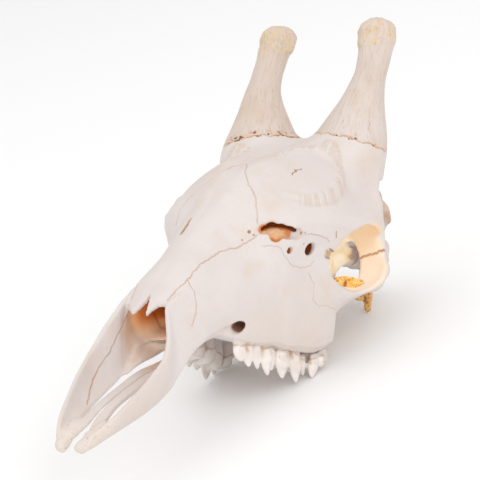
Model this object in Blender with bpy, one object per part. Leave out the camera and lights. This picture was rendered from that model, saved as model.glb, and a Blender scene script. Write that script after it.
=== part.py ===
import math

import bmesh
import bpy
import numpy as np
import openvdb

# Sizes in mm, in the skull's own frame: x to the muzzle, y to the skull's left, z up.


def hermite(xs, ys, x):
    """Smooth curve through points that never overshoots them."""
    xs = np.asarray(xs, float)
    ys = np.asarray(ys, float)
    d = np.diff(ys) / np.diff(xs)
    m = np.empty(len(xs))
    m[1:-1] = np.where(d[1:] * d[:-1] > 0, 2 * d[1:] * d[:-1] / (d[1:] + d[:-1] + 1e-12), 0)
    m[0] = d[0]
    m[-1] = d[-1]
    i = np.clip(np.searchsorted(xs, x) - 1, 0, len(xs) - 2)
    w = xs[i + 1] - xs[i]
    t = np.clip((x - xs[i]) / w, 0, 1)
    t2 = t * t
    t3 = t2 * t
    return ((2 * t3 - 3 * t2 + 1) * ys[i] + (t3 - 2 * t2 + t) * w * m[i]
            + (-2 * t3 + 3 * t2) * ys[i + 1] + (t3 - t2) * w * m[i + 1])


def smin(a, b, k):
    """Union of two distances, rounded over k."""
    if k <= 0:
        return np.minimum(a, b)
    h = np.maximum(k - np.abs(a - b), 0) / k
    return np.minimum(a, b) - h * h * k * 0.25


def smax(a, b, k):
    """Overlap of two distances, rounded over k."""
    return -smin(-a, -b, k)


class Field:
    """Distances from the surface on a grid over one half of the skull."""

    def __init__(self, lo, hi, h):
        self.h = h
        self.x = np.arange(lo[0], hi[0] + h, h, dtype=np.float32)
        self.y = np.arange(0, hi[1] + h, h, dtype=np.float32)
        self.z = np.arange(lo[2], hi[2] + h, h, dtype=np.float32)
        self.v = np.full((len(self.x), len(self.y), len(self.z)), 60.0, np.float32)

    def block(self, lo, hi):
        """Part of the grid between two corners."""
        s = []
        for ax, a, b in zip((self.x, self.y, self.z), lo, hi):
            i = max(int(np.searchsorted(ax, a)) - 1, 0)
            j = min(int(np.searchsorted(ax, b)) + 1, len(ax))
            s.append(slice(i, j))
        X = self.x[s[0]][:, None, None]
        Y = self.y[s[1]][None, :, None]
        Z = self.z[s[2]][None, None, :]
        return tuple(s), X, Y, Z

    def add(self, shape, k=6.0):
        fn, lo, hi = shape
        m = k + 8
        s, X, Y, Z = self.block([a - m for a in lo], [b + m for b in hi])
        if min(len(X), Y.shape[1], Z.shape[2]) == 0:
            return
        self.v[s] = smin(self.v[s], fn(X, Y, Z), k)

    def cut(self, shape, k=4.0):
        fn, lo, hi = shape
        m = k + 8
        s, X, Y, Z = self.block([a - m for a in lo], [b + m for b in hi])
        if min(len(X), Y.shape[1], Z.shape[2]) == 0:
            return
        self.v[s] = smax(self.v[s], -fn(X, Y, Z), k)


def rot_from(axis_x, up):
    """Rows of a turned frame with its first axis along axis_x."""
    a = np.array(axis_x, float)
    a /= np.linalg.norm(a)
    u = np.array(up, float)
    u -= a * a.dot(u)
    u /= np.linalg.norm(u)
    b = np.cross(u, a)
    return np.array([a, b, u])


def ellipsoid(c, r, M=None):
    """Ellipsoid with its middle c, half sizes r and turned frame M."""
    c = np.array(c, float)
    r = np.array(r, float)
    if M is None:
        M = np.eye(3)

    def fn(X, Y, Z):
        p = (X - c[0], Y - c[1], Z - c[2])
        q = [M[i, 0] * p[0] + M[i, 1] * p[1] + M[i, 2] * p[2] for i in range(3)]
        k0 = np.sqrt(sum((q[i] / r[i]) ** 2 for i in range(3)))
        k1 = np.sqrt(sum((q[i] / r[i] ** 2) ** 2 for i in range(3)))
        return k0 * (k0 - 1) / np.maximum(k1, 1e-9)
    e = np.sqrt(((M.T * r) ** 2).sum(1))
    return fn, c - e, c + e


def rod(pts, k=0.0, squash=None):
    """Chain of tapered rods; each point is x, y, z, radius; squash = (direction, factor)."""
    P = np.array(pts, float)

    def fn(X, Y, Z):
        out = None
        for a, b in zip(P[:-1], P[1:]):
            ab = b[:3] - a[:3]
            px, py, pz = X - a[0], Y - a[1], Z - a[2]
            L = ab.dot(ab)
            t = np.clip((px * ab[0] + py * ab[1] + pz * ab[2]) / L, 0, 1)
            qx, qy, qz = px - t * ab[0], py - t * ab[1], pz - t * ab[2]
            if squash is None:
                d = np.sqrt(qx * qx + qy * qy + qz * qz)
                d = d - (a[3] + t * (b[3] - a[3]))
            else:
                n = np.array(squash[0], float)
                n /= np.linalg.norm(n)
                s = squash[1]
                w = qx * n[0] + qy * n[1] + qz * n[2]
                full = np.sqrt(qx * qx + qy * qy + qz * qz + (s * s - 1) * w * w)
                d = (full - (a[3] + t * (b[3] - a[3])))
                g = np.sqrt(1 + (s * s - 1) * (s * w) ** 2 / np.maximum(full, 1e-6) ** 2)
                d = d / np.where(full > 1e-6, np.minimum(g, s), s)
            out = d if out is None else smin(out, d, k)
        return out
    r = P[:, 3].max()
    return fn, P[:, :3].min(0) - r, P[:, :3].max(0) + r


def spline(P, n):
    """Catmull-Rom through half-section points, mirrored at the midline ends."""
    P = np.asarray(P, float)
    Q = np.vstack([P[1] * [-1, 1], P, P[-2] * [-1, 1]])
    out = []
    for i in range(1, len(Q) - 2):
        p0, p1, p2, p3 = Q[i - 1:i + 3]
        for t in np.arange(n) / n:
            out.append(0.5 * ((2 * p1) + (p2 - p0) * t + (2 * p0 - 5 * p1 + 4 * p2 - p3) * t * t
                              + (3 * p1 - p0 - 3 * p2 + p3) * t ** 3))
    out.append(P[-1])
    return np.array(out)


def section_distance(Y, Z, P):
    """Signed distance to a half section from top midline to bottom midline."""
    best = None
    inside = np.zeros(np.broadcast(Y, Z).shape, bool)
    for a, b in zip(P[:-1], P[1:]):
        ey, ez = b[0] - a[0], b[1] - a[1]
        wy, wz = Y - a[0], Z - a[1]
        t = np.clip((wy * ey + wz * ez) / (ey * ey + ez * ez + 1e-12), 0, 1)
        d = (wy - t * ey) ** 2 + (wz - t * ez) ** 2
        best = d if best is None else np.minimum(best, d)
        cross = (a[1] > Z) != (b[1] > Z)
        yc = a[0] + (Z - a[1]) * ey / (ez if abs(ez) > 1e-9 else 1e-9)
        inside ^= cross & (Y < yc)
    d = np.sqrt(best)
    return np.where(inside, -d, d)


def loft(field, stations, n=4):
    """Body through stations: x then (y, z) pairs from top midline to bottom midline."""
    S = np.array(sorted(stations), float)
    xs = S[:, 0]
    x = field.x
    cols = np.array([hermite(xs, S[:, j], x) for j in range(1, S.shape[1])])
    Y = field.y[:, None]
    Z = field.z[None, :]
    f = np.empty(field.v.shape, np.float32)
    for i in range(len(x)):
        f[i] = section_distance(Y, Z, spline(cols[:, i].reshape(-1, 2), n))
    gx = np.gradient(f, field.h, axis=0)
    f /= np.sqrt(1 + np.clip(gx, -3, 3) ** 2)
    X = x[:, None, None]
    return smax(smax(f, X - xs[-1], 6), xs[0] - X, 6)


# stations of the outer form: x | roof mid | roof | shoulder | side | low side | edge | bottom mid
OUTER = [
    (236, 0, 60, 14, 60, 26, 52, 33, 30, 32, 14, 28, 4, 0, 6),
    (216, 0, 77, 14, 76, 27, 67, 35, 45, 34, 25, 30, 13, 0, 14),
    (200, 0, 90, 14, 89, 29, 79, 36, 54, 36, 35, 31, 23, 0, 21),
    (177, 0, 110, 14, 109, 31, 99, 39, 70, 39, 52, 33, 42, 0, 37),
    (142, 0, 135, 15, 131, 34, 113, 47, 80, 42, 57, 33, 48, 0, 44),
    (112, 0, 156, 15, 152, 34, 134, 53, 92, 50, 58, 42, 37, 0, 46),
    (88, 0, 172, 17, 169, 41, 148, 58, 98, 60, 58, 50, 31, 0, 46),
    (74, 0, 184, 21, 181, 61, 154, 62, 102, 63, 58, 54, 30, 0, 46),
    (60, 0, 193, 25, 190, 78, 158, 67, 108, 67, 60, 58, 24, 0, 46),
    (42, 0, 202, 28, 199, 86, 159, 71, 110, 70, 62, 61, 20, 0, 46),
    (20, 0, 209, 36, 206, 94, 157, 77, 110, 75, 62, 66, 16, 0, 46),
    (-4, 0, 213, 41, 207, 99, 151, 84, 108, 79, 64, 68, 19, 0, 50),
    (-13, 0, 214, 43, 208, 101, 149, 87, 107, 80, 66, 64, 45, 0, 58),
    (-35, 0, 218, 45, 212, 104, 144, 93, 104, 87, 71, 66, 62, 0, 74),
    (-62, 0, 224, 50, 218, 101, 156, 102, 118, 92, 86, 60, 80, 0, 88),
    (-86, 0, 228, 50, 222, 88, 200, 62, 150, 46, 114, 34, 97, 0, 94),
    (-115, 0, 226, 44, 220, 74, 202, 55, 158, 44, 118, 32, 97, 0, 94),
    (-150, 0, 206, 32, 201, 44, 182, 49, 152, 48, 120, 30, 98, 0, 95),
    (-176, 0, 178, 20, 174, 36, 162, 44, 140, 38, 114, 22, 98, 0, 98),
]
# upper and lower edges of the long bars of the muzzle: x | upper y, z | lower y, z
BAR = [
    (140, 43, 80, 36, 56),
    (165, 37, 86, 34, 48),
    (178, 32, 94, 33, 43),
    (190, 30, 90, 33, 34),
    (206, 28, 83, 33, 21),
    (216, 34, 70, 34, 14),
    (226, 41, 54, 35, 9),
    (240, 45, 37, 35, 2.5),
    (258, 43, 23, 33, -5),
    (278, 38, 8, 28, -13),
    (300, 31, -8, 20, -22.5),
    (315, 23, -18, 14, -29),
    (325, 15, -26, 11, -32.5),
]
# strips of the palate beside the midline slit: x | inner y, z | outer y, z
STRIP = [
    (140, 1, 42, 16, 43),
    (168, 1, 24, 11, 25),
    (188, 1, 21.5, 10.5, 22),
    (204, 1, 19.5, 10.5, 20),
    (239, 2, 10.5, 10.5, 9.5),
    (269, 2.5, 0.5, 10, -0.5),
    (290, 3, -10, 12, -11),
    (298, 4, -15, 17, -15),
    (308, 7, -21, 17, -21),
]
# floor of the nose beside the slit: x | outer y, z | inner y, z
SHELF = [
    (132, 36, 52, 16, 46),
    (146, 35, 50, 16, 41),
    (160, 35, 48, 18, 36),
    (175, 34, 42, 19, 32),
    (190, 33, 34, 20, 29),
    (199, 32, 26, 23, 25),
    (208, 31, 19, 27, 18),
]
# horn cores, from below: z | x, y of the axis | half length | half width
OSSICONE = [
    (180, -78, 46, 46, 46),
    (205, -82, 49, 45, 47),
    (222, -87, 53, 41, 42.5),
    (236, -93, 57, 34.5, 36),
    (249, -98.5, 59.5, 28.5, 30.5),
    (266, -106, 63, 22.5, 23.5),
    (280, -113, 65, 19, 19.5),
    (296, -124, 66, 17.3, 17.3),
    (314, -135, 65.2, 17.8, 17.8),
    (326, -142, 63.5, 20, 20),
    (336, -145, 62.5, 20, 20),
    (344, -145, 62.5, 16.5, 16.5),
    (349, -145, 62.5, 9, 9),
]
# leaves of the grinding teeth: x | half width | gum z | point, x, z | outer face inward | lingual share
TEETH = [
    (111, 9.5, 35, 109.5, 18, 0, 0.0),
    (99.5, 9, 33, 100.5, 11.5, 0, 0.6),
    (88, 6, 28, 89.5, 8, 0, 0.7),
    (75.5, 9, 27, 76, -0.5, 0, 0.9),
    (66, 5, 22, 67, 3, 3, 0.0),
    (53, 11, 20.5, 57, -6, 0, 1.0),
    (36, 9.5, 12.5, 37.5, -12.5, 0, 1.0),
    (23.5, 5, 8, 24, -7.5, 3, 0.0),
    (9, 8.5, 7, 17, -10.5, 0, 1.0),
    (-3, 8, 12, 2, -1.5, 0, 0.8),
]


def tooth_line(x):
    """Distance of the outer faces of the teeth from the midline."""
    return 42 + (117 - x) * 23 / 117


# narrow slot of the right side
SLIT = [(124, 11.2, 145.8, 1.6), (116, 12.2, 150.5, 2.8), (110.6, 13.9, 153.6, 2.8), (106, 14.2, 156.5, 1.6)]


def stack(levels):
    """Upright body of elliptic levels: z, middle x, middle y, half length, half width."""
    S = np.array(levels, float)
    lo = np.array([(S[:, 1] - S[:, 3]).min(), (S[:, 2] - S[:, 4]).min(), S[0, 0]])
    hi = np.array([(S[:, 1] + S[:, 3]).max(), (S[:, 2] + S[:, 4]).max(), S[-1, 0] + 3])

    def fn(X, Y, Z):
        z = Z.ravel()
        cx, cy, rx, ry = [hermite(S[:, 0], S[:, j], z)[None, None, :] for j in (1, 2, 3, 4)]
        q = np.sqrt(((X - cx) / rx) ** 2 + ((Y - cy) / ry) ** 2)
        d = (q - 1) * np.minimum(rx, ry)
        if len(z) > 1:
            g = np.gradient(d, float(z[1] - z[0]), axis=2)
            d = d / np.sqrt(1 + np.clip(g, -3, 3) ** 2)
        return smax(smax(d, Z - S[-1, 0] - 1, 3), S[0, 0] - Z, 3)
    return fn, lo, hi


def ribbon(table, half, bow, front):
    """Long plate between two edges that run along x."""
    S = np.array(table, float)

    def fn(X, Y, Z):
        x = X.ravel()
        uy, uz, ly, lz = [hermite(S[:, 0], S[:, j], x)[:, None, None] for j in (1, 2, 3, 4)]
        ey, ez = uy - ly, uz - lz
        wy, wz = Y - ly, Z - lz
        t = np.clip((wy * ey + wz * ez) / (ey * ey + ez * ez), 0, 1)
        d = np.sqrt((wy - t * ey - bow * np.sin(np.pi * t)) ** 2 + (wz - t * ez) ** 2)
        g = np.gradient(d, float(x[1] - x[0]), axis=0) if len(x) > 1 else 0
        r = half * (0.75 + 0.35 * (1 - t))
        d = (d - r) / np.sqrt(1 + np.clip(g, -1.5, 1.5) ** 2)
        return smax(smax(d, X - S[-1, 0] - front, 5), S[0, 0] - X, 3)
    lo = np.array([S[0, 0], S[:, [1, 3]].min() - half, S[:, [2, 4]].min() - half])
    hi = np.array([S[-1, 0] + front + 2, S[:, [1, 3]].max() + half, S[:, [2, 4]].max() + half])
    return fn, lo, hi


def leaf(x, y, half, gum, tip_x, tip_z, thick):
    """Leaf of a tooth: broad at the gum, pointed below, its outer face at y."""
    rows = []
    for t, w, d in ((1.0, 0.13, 0.3), (0.86, 0.4, 0.55), (0.62, 0.8, 0.8), (0.3, 1.0, 1.0), (0.0, 0.92, 1.0),
                    (-0.4, 0.8, 0.9)):
        rows.append((gum + t * (tip_z - gum), x + max(t, 0) ** 1.4 * (tip_x - x),
                     y - thick * d - 1.5 * max(t, 0) ** 2, half * w, thick * d))
    return stack(rows)


def rib(x, y, gum, tip_x, tip_z):
    """Raised rib down the outer face of a leaf."""
    pts = [(x + max(t, 0) ** 1.4 * (tip_x - x), y - 1.0 - 2.2 * max(t, 0) ** 2, gum + t * (tip_z - gum),
            1.9 * (1 - 0.5 * t)) for t in (-0.2, 0.3, 0.65, 0.92)]
    return rod(pts)


def build(h=3.0, wall=6.0, hand=1):
    """One half of the skull, hand 1 for the left and -1 for the right."""
    F = Field((-216, 0, -60), (345, 130, 370), h)
    body = loft(F, OUTER)
    F.v = body.copy()
    X, Y, Z = F.x[:, None, None], F.y[None, :, None], F.z[None, None, :]

    # boss over the frontal, furrow between the bosses
    F.add(ellipsoid((-6, 41, 187), (48, 44, 16), rot_from((0.85, 0.1, -0.35), (0.3, 0.25, 1))), 20)
    F.cut(rod([(40, 0, 216, 6), (-20, 0, 227, 6), (-70, 0, 236, 6)]), 14)

    # passage of the nose: one wall inside the outer form, open in front
    x = F.x
    floor = hermite([-20, 40, 110, 142, 160, 216], [62, 56, 55, 47, 34, 22], x)[:, None, None]
    roots = hermite([-20, 20, 74, 112, 130, 160], [30, 38, 36, 30, 34, 60], x)[:, None, None]
    roof = hermite([-20, 6, 20, 36], [125, 150, 200, 235], x)[:, None, None]
    side = hermite([140, 165, 206, 240, 260], [60, 29, 25, 32, 30], x)[:, None, None]
    thick = hermite([100, 180, 214], [wall, 5, 3.5], x)[:, None, None]
    deep = smax(body + thick, floor - Z, 6)
    deep = smax(deep, -8 - X, 10)
    deep = smax(deep, (Y - roots - np.maximum(Z - 62, 0) * 1.2) * 0.7, 6)
    deep = smax(deep, Z - roof, 10)
    F.v = smax(F.v, -deep, 3)
    # opening of the nose, with the points of the nasal bones over it
    if hand > 0:
        edge = hermite([0, 2, 5, 8.5, 12, 16, 22, 40], [195, 199, 207, 215, 208, 202, 200, 199], F.y)
    else:
        edge = hermite([0, 3, 7, 11, 15, 19, 23, 40], [195, 205, 212, 212, 208, 205, 200, 199], F.y)
    edge = edge[None, :, None]
    mouth = edge - X
    F.v = smax(F.v, -mouth, 1.5)
    low = smax(smax(150 - X, Y - side, 4), Z - 45, 4)
    F.v = smax(F.v, -low, 3)

    # bars of the muzzle, strips of the palate
    F.add(ribbon(BAR, 3.6, 2.5, 4), 4)
    F.add(ribbon(STRIP, 2.4, 0, 6), 4)
    F.add(ribbon(SHELF, 2.6, 0, 0), 4)
    F.add(rod([(327, 10, -29, 5.2), (312, 14, -22, 6.5), (300, 17, -16, 6)], squash=((0.4, 0, 1), 1.6)), 5)
    slit = hermite([190, 245, 258, 286, 296, 304, 330], [0.6, 0.6, 1.3, 1.5, 1.2, 3.5, 6.5], x)
    slit = slit[:, None, None]
    F.v = smax(F.v, -smax(smax(Y - slit, 188 - X, 1), Z - 60, 1), 0.6)

    # teeth
    for x0, half, gum, tx, tz, inward, tongue in TEETH:
        y = tooth_line(x0) - inward
        # the right row is more worn in front
        tz = tz + (6 if hand < 0 and x0 > 45 else 0)
        F.add(leaf(x0, y, half, gum, tx, tz, 3.6), 1.2)
        F.add(rib(x0, y, gum, tx, tz), 1.2)
        if tongue:
            top = gum + 8
            low = tz + 8 + 7 * (1 - tongue)
            F.add(leaf(x0 - 2, y - 13, half * 0.9 * tongue, top, tx - 2, low, 3.8), 1.5)
            F.add(rod([(0.5 * (x0 + tx), y - 4, 0.65 * gum + 0.35 * tz, half * 0.75),
                       (x0 - 1, y - 14, 0.75 * gum + 0.25 * tz, half * 0.75 * tongue),
                       (x0, y - 14, gum + 12, half * 0.8)]), 2)

    # passage behind the orbit into the temporal fossa
    F.cut(rod([(-58, 62, 100, 15), (-84, 70, 106, 22), (-108, 78, 118, 28), (-130, 94, 132, 34)]), 6)
    F.cut(rod([(-30, 66, 88, 10), (-56, 60, 84, 14), (-95, 56, 80, 15), (-130, 64, 84, 16)]), 6)
    # space under the braincase, behind the palate
    F.cut(rod([(-46, 50, 66, 15), (-70, 40, 66, 18), (-110, 30, 66, 22)]), 6)
    F.cut(rod([(-30, 0, 48, 13), (-70, 0, 60, 18), (-110, 0, 66, 20)]), 6)
    # bar behind the orbit, cheek bone and arch
    out = (0.94, 0.34, 0.05)
    F.add(rod([(-66, 80, 152, 22), (-73, 81, 132, 18), (-75, 83, 108, 15), (-71, 86, 92, 15),
               (-60, 90, 82, 13)], squash=(out, 2.4)), 6)
    F.add(rod([(-70, 95, 90, 10), (-50, 91, 78, 9), (-24, 80, 73, 9), (0, 64, 76, 9)],
              squash=((0.5, 0.8, 0), 1.2)), 7)
    F.add(rod([(-66, 91, 88, 9), (-90, 84, 90, 8), (-112, 73, 96, 9), (-135, 58, 106, 12)],
              squash=((0.3, 1, 0), 1.8)), 6)
    # orbit bowl
    M = rot_from((0.381, 0.914, -0.137), (0, 0, 1))
    n = M[0]
    c = np.array((-36, 92, 106))
    F.cut(ellipsoid(c + n * 2, (46, 36, 34), M), 4)
    F.cut(ellipsoid((-14, 82, 103), (24, 15, 19), M), 4)
    F.cut(rod([(7, 82, 115, 4.5), (-14, 64, 111, 4)]), 2)
    # swellings of the braincase wall and of the jaw that show through the orbit
    F.add(ellipsoid((-84, 46, 105), (15, 15, 13)), 3)
    F.add(ellipsoid((-44, 66, 79), (17, 9, 7.5), rot_from((-0.56, 0.83, 0), (0, 0, 1))), 2)

    # back of the skull
    F.add(ellipsoid((-180, 17, 108), (16, 14, 19), rot_from((1, -0.35, -0.3), (0, 0, 1))), 7)
    F.add(rod([(-128, 44, 112, 13), (-136, 40, 84, 9), (-141, 36, 58, 5.5), (-142, 34, 42, 4)],
              squash=((0.5, 1, 0), 1.5)), 7)
    F.add(ellipsoid((-132, 28, 93), (13, 11, 8)), 4)
    F.add(rod([(-141, 36, 54, 4), (-134, 31, 53, 2.8), (-128, 25, 56, 2.2)]), 3)
    F.add(rod([(-160, 0, 184, 8), (-168, 24, 168, 7), (-160, 40, 162, 7), (-154, 45, 155, 6.5),
               (-153, 52, 146, 7), (-153, 54, 137, 7), (-149, 46, 122, 6)]), 3)
    F.cut(ellipsoid((-192, 0, 125), (36, 15, 13)), 4)
    F.cut(ellipsoid((-192, 0, 96), (18, 6, 12)), 4)

    # plates behind the palate
    F.add(rod([(-10, 26, 58, 10), (-45, 24, 54, 10), (-78, 22, 70, 11), (-100, 20, 92, 8)],
              squash=((0, 1, 0), 2.4)), 5)
    F.add(rod([(-40, 25, 54, 7), (-52, 23, 40, 5), (-58, 21, 31, 3.5)], squash=((0, 1, 0), 1.5)), 4)

    # openings of the face: the slot below the frontal, two small holes, the hole of the cheek nerve
    F.add(ellipsoid((60, 56, 130), (24, 12, 16), rot_from((0.7, -0.7, 0), (0, 0, 1))), 6)
    if hand > 0:
        for cx, cy, cz, r in ((80, 55, 145, 6), (74, 61, 145, 7.5), (68, 67, 142, 8), (62, 72, 140, 7.5),
                              (56, 78, 138, 6), (71, 63, 137, 6.5), (84, 52, 143, 4.5), (51, 82, 137, 4)):
            F.cut(ellipsoid((cx, cy, cz), (r, r, r * 0.9)), 1.5)
    else:
        F.cut(rod(SLIT), 0.8)
    F.cut(rod([(34, 86, 122, 6), (30, 66, 120, 6)]), 1.5)
    F.cut(rod([(61, 78, 123, 3.2), (57, 62, 121, 3.2)]), 1.5)
    F.cut(rod([(160, 38, 44.5, 3), (146, 41.5, 47, 5), (134, 44, 49.5, 6.5), (124, 46, 51.5, 6.5),
               (108, 42, 57, 5)]), 2)

    # horn cores
    F.add(stack(OSSICONE), 10)
    return F


def full(F, other):
    """Both halves, the left one and the right one, as a single grid."""
    v = np.clip(np.concatenate([other.v[:, :0:-1, :], F.v], axis=1), -10, 10)
    y = np.concatenate([-F.y[:0:-1], F.y])
    return F.x, y, F.z, v


# cuts between the bones, in the skull's own frame, mm
GAP = 0.3
# rear edge of the nasal bone, then its outer edge, to the opening: x, y, z
NASAL_EDGE = [
    (24, -12, 214), (26, 0, 210), (42, 12, 202), (57, 25, 192), (70, 41, 174), (82, 50, 152),
    (88, 49, 140), (103, 43, 134), (127, 35, 128), (150, 29, 117), (173, 28, 105), (190, 26, 92),
    (199, 24, 87), (216, 20, 86),
]
# edge between the upper jaw and the bones behind it, seen from the side: x, z
JAW_EDGE = [
    (92, 160), (82, 148), (73, 130), (64, 117), (54, 108), (42, 103), (28, 100), (27, 84), (27, 70),
    (18, 63),
]
# from there on, inside the cheek and on the cheek
JAW_INNER = [(0, 62.5), (-20, 62.5), (-45, 68), (-62, 76), (-84, 84), (-112, 86), (-114, 60), (-114, -30)]
JAW_OUTER = [(8, 61), (-7, 56), (-22, 46), (-42, 28), (-60, 0), (-66, -30)]
# lower edge of the frontal bones: x, z, reach to the side
FRONTAL_EDGE = [
    (75.1, 134, 118), (60, 137, 118), (48, 135, 118), (35, 136, 118), (20, 131, 118), (12, 127, 118),
    (0, 124, 118), (-20, 122, 118), (-40, 122, 62.1), (-60, 122, 62.1), (-95, 127, 62.1), (-125, 140, 66),
    (-145, 158, 72), (-157, 178, 90), (-162, 200, 90), (-164, 228, 90),
]
# rear edge of the tear bones: x, z, reach to the side
TEAR_EDGE = [(-6, 123.45, 118), (-6, 110, 118), (-6.3, 91.6, 118), (-6.3, 91.2, 74.1), (-6, 75, 74.1),
             (-6, 62.4, 74.1)]
# edge between the upper jaw and the premaxilla, from the side: x, z
FRONT_EDGE = [(186, 116), (177, 108), (173, 96), (175, 77), (186, 58), (207, 42), (232, 22), (254, 6),
              (267, -8), (276, -44)]
STRIP_CUT = 158
CHEEK_INNER = 74
SQUAMOSAL_CUT = 56
# underside of a horn core at y 52: x, z; it falls outwards by the slope
OSSICONE_EDGE = [(-170, 214), (-125, 219), (-90, 221), (-50, 234), (-20, 244)]
OSSICONE_SLOPE = 0.22

# seeds: a place inside each bone, x, y (left), z, and its colour
BONES = {
    "braincase": ((-176, 0, 112), (0.79, 0.73, 0.65)),
    "frontal": ((-10, 45, 202), (0.82, 0.77, 0.71)),
    "lacrimal": ((40, 76, 120), (0.81, 0.76, 0.70)),
    "squamosal": ((-115, 72, 97), (0.78, 0.71, 0.61)),
    "ossicone": ((-125, 64, 300), (0.76, 0.68, 0.57)),
    "nasal": ((120, 15, 145), (0.83, 0.78, 0.72)),
    "maxilla": ((60, 55, 60), (0.82, 0.77, 0.71)),
    "premaxilla": ((318, 20, -24), (0.83, 0.78, 0.73)),
    "zygomatic": ((-55, 88, 84), (0.81, 0.74, 0.63)),
}
TRIANGLES = 10450
STEP = 2.0


def clear_scene():
    for ob in list(bpy.data.objects):
        bpy.data.objects.remove(ob, do_unlink=True)


def mesh_object(name, verts, faces):
    me = bpy.data.meshes.new(name)
    me.from_pydata([tuple(map(float, v)) for v in verts], [], [tuple(map(int, f)) for f in faces])
    me.update()
    ob = bpy.data.objects.new(name, me)
    bpy.context.scene.collection.objects.link(ob)
    return ob


def surface(step):
    """Closed triangle mesh of the whole skull, mm."""
    x, y, z, v = full(build(step), build(step, hand=-1))
    grid = openvdb.FloatGrid(background=10.0)
    grid.copyFromArray(np.ascontiguousarray(v))
    points, quads = grid.convertToQuads(isovalue=0.0)
    points = points * step + np.array([x[0], y[0], z[0]])
    return points, quads


def keep_largest(bm):
    """Drop every loose surface but the largest."""
    groups = []
    seen = set()
    for f in bm.faces:
        if f in seen:
            continue
        stack_ = [f]
        seen.add(f)
        group = []
        while stack_:
            g = stack_.pop()
            group.append(g)
            for e in g.edges:
                for n in e.link_faces:
                    if n not in seen:
                        seen.add(n)
                        stack_.append(n)
        groups.append(group)
    groups.sort(key=len)
    drop = [f for g in groups[:-1] for f in g]
    bmesh.ops.delete(bm, geom=drop, context="FACES")
    loose = [v for v in bm.verts if not v.link_faces]
    bmesh.ops.delete(bm, geom=loose, context="VERTS")


def applied(ob):
    """Mesh of the object with its modifiers applied."""
    dg = bpy.context.evaluated_depsgraph_get()
    dg.update()
    me = bpy.data.meshes.new_from_object(ob.evaluated_get(dg))
    old = ob.data
    ob.modifiers.clear()
    ob.data = me
    bpy.data.meshes.remove(old)


def curtain(name, outer, inner, gap=GAP):
    """Thin closed sheet between two rows of points."""
    P = np.array(outer, float)
    Q = np.array(inner, float)
    along = np.gradient((P + Q) / 2, axis=0)
    n = np.cross(along, Q - P)
    n /= np.linalg.norm(n, axis=1, keepdims=True)
    n *= gap / 2
    verts = np.concatenate([P + n, Q + n, Q - n, P - n])
    k = len(P)
    faces = []
    for i in range(k - 1):
        for r in range(4):
            a = r * k + i
            b = ((r + 1) % 4) * k + i
            faces.append((a, a + 1, b + 1, b))
    faces.append((0, k, 2 * k, 3 * k))
    faces.append((4 * k - 1, 3 * k - 1, 2 * k - 1, k - 1))
    ob = mesh_object(name, verts, faces)
    bm = bmesh.new()
    bm.from_mesh(ob.data)
    bmesh.ops.triangulate(bm, faces=bm.faces[:])
    bmesh.ops.recalc_face_normals(bm, faces=bm.faces[:])
    if bm.calc_volume(signed=True) < 0:
        bmesh.ops.reverse_faces(bm, faces=bm.faces[:])
    bm.to_mesh(ob.data)
    bm.free()
    ob.hide_render = True
    ob.display_type = "WIRE"
    return ob


def across(name, edge, y0, y1, gap=GAP):
    """Sheet that runs across the skull from y0 to y1 along an edge seen from the side."""
    return curtain(name, [(x, y1, z) for x, z in edge], [(x, y0, z) for x, z in edge], gap)


def across_reach(name, edge, gap=GAP):
    """Sheet along an edge seen from the side, as wide to both sides as each point says."""
    return curtain(name, [(x, y, z) for x, z, y in edge], [(x, -y, z) for x, z, y in edge], gap)


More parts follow.
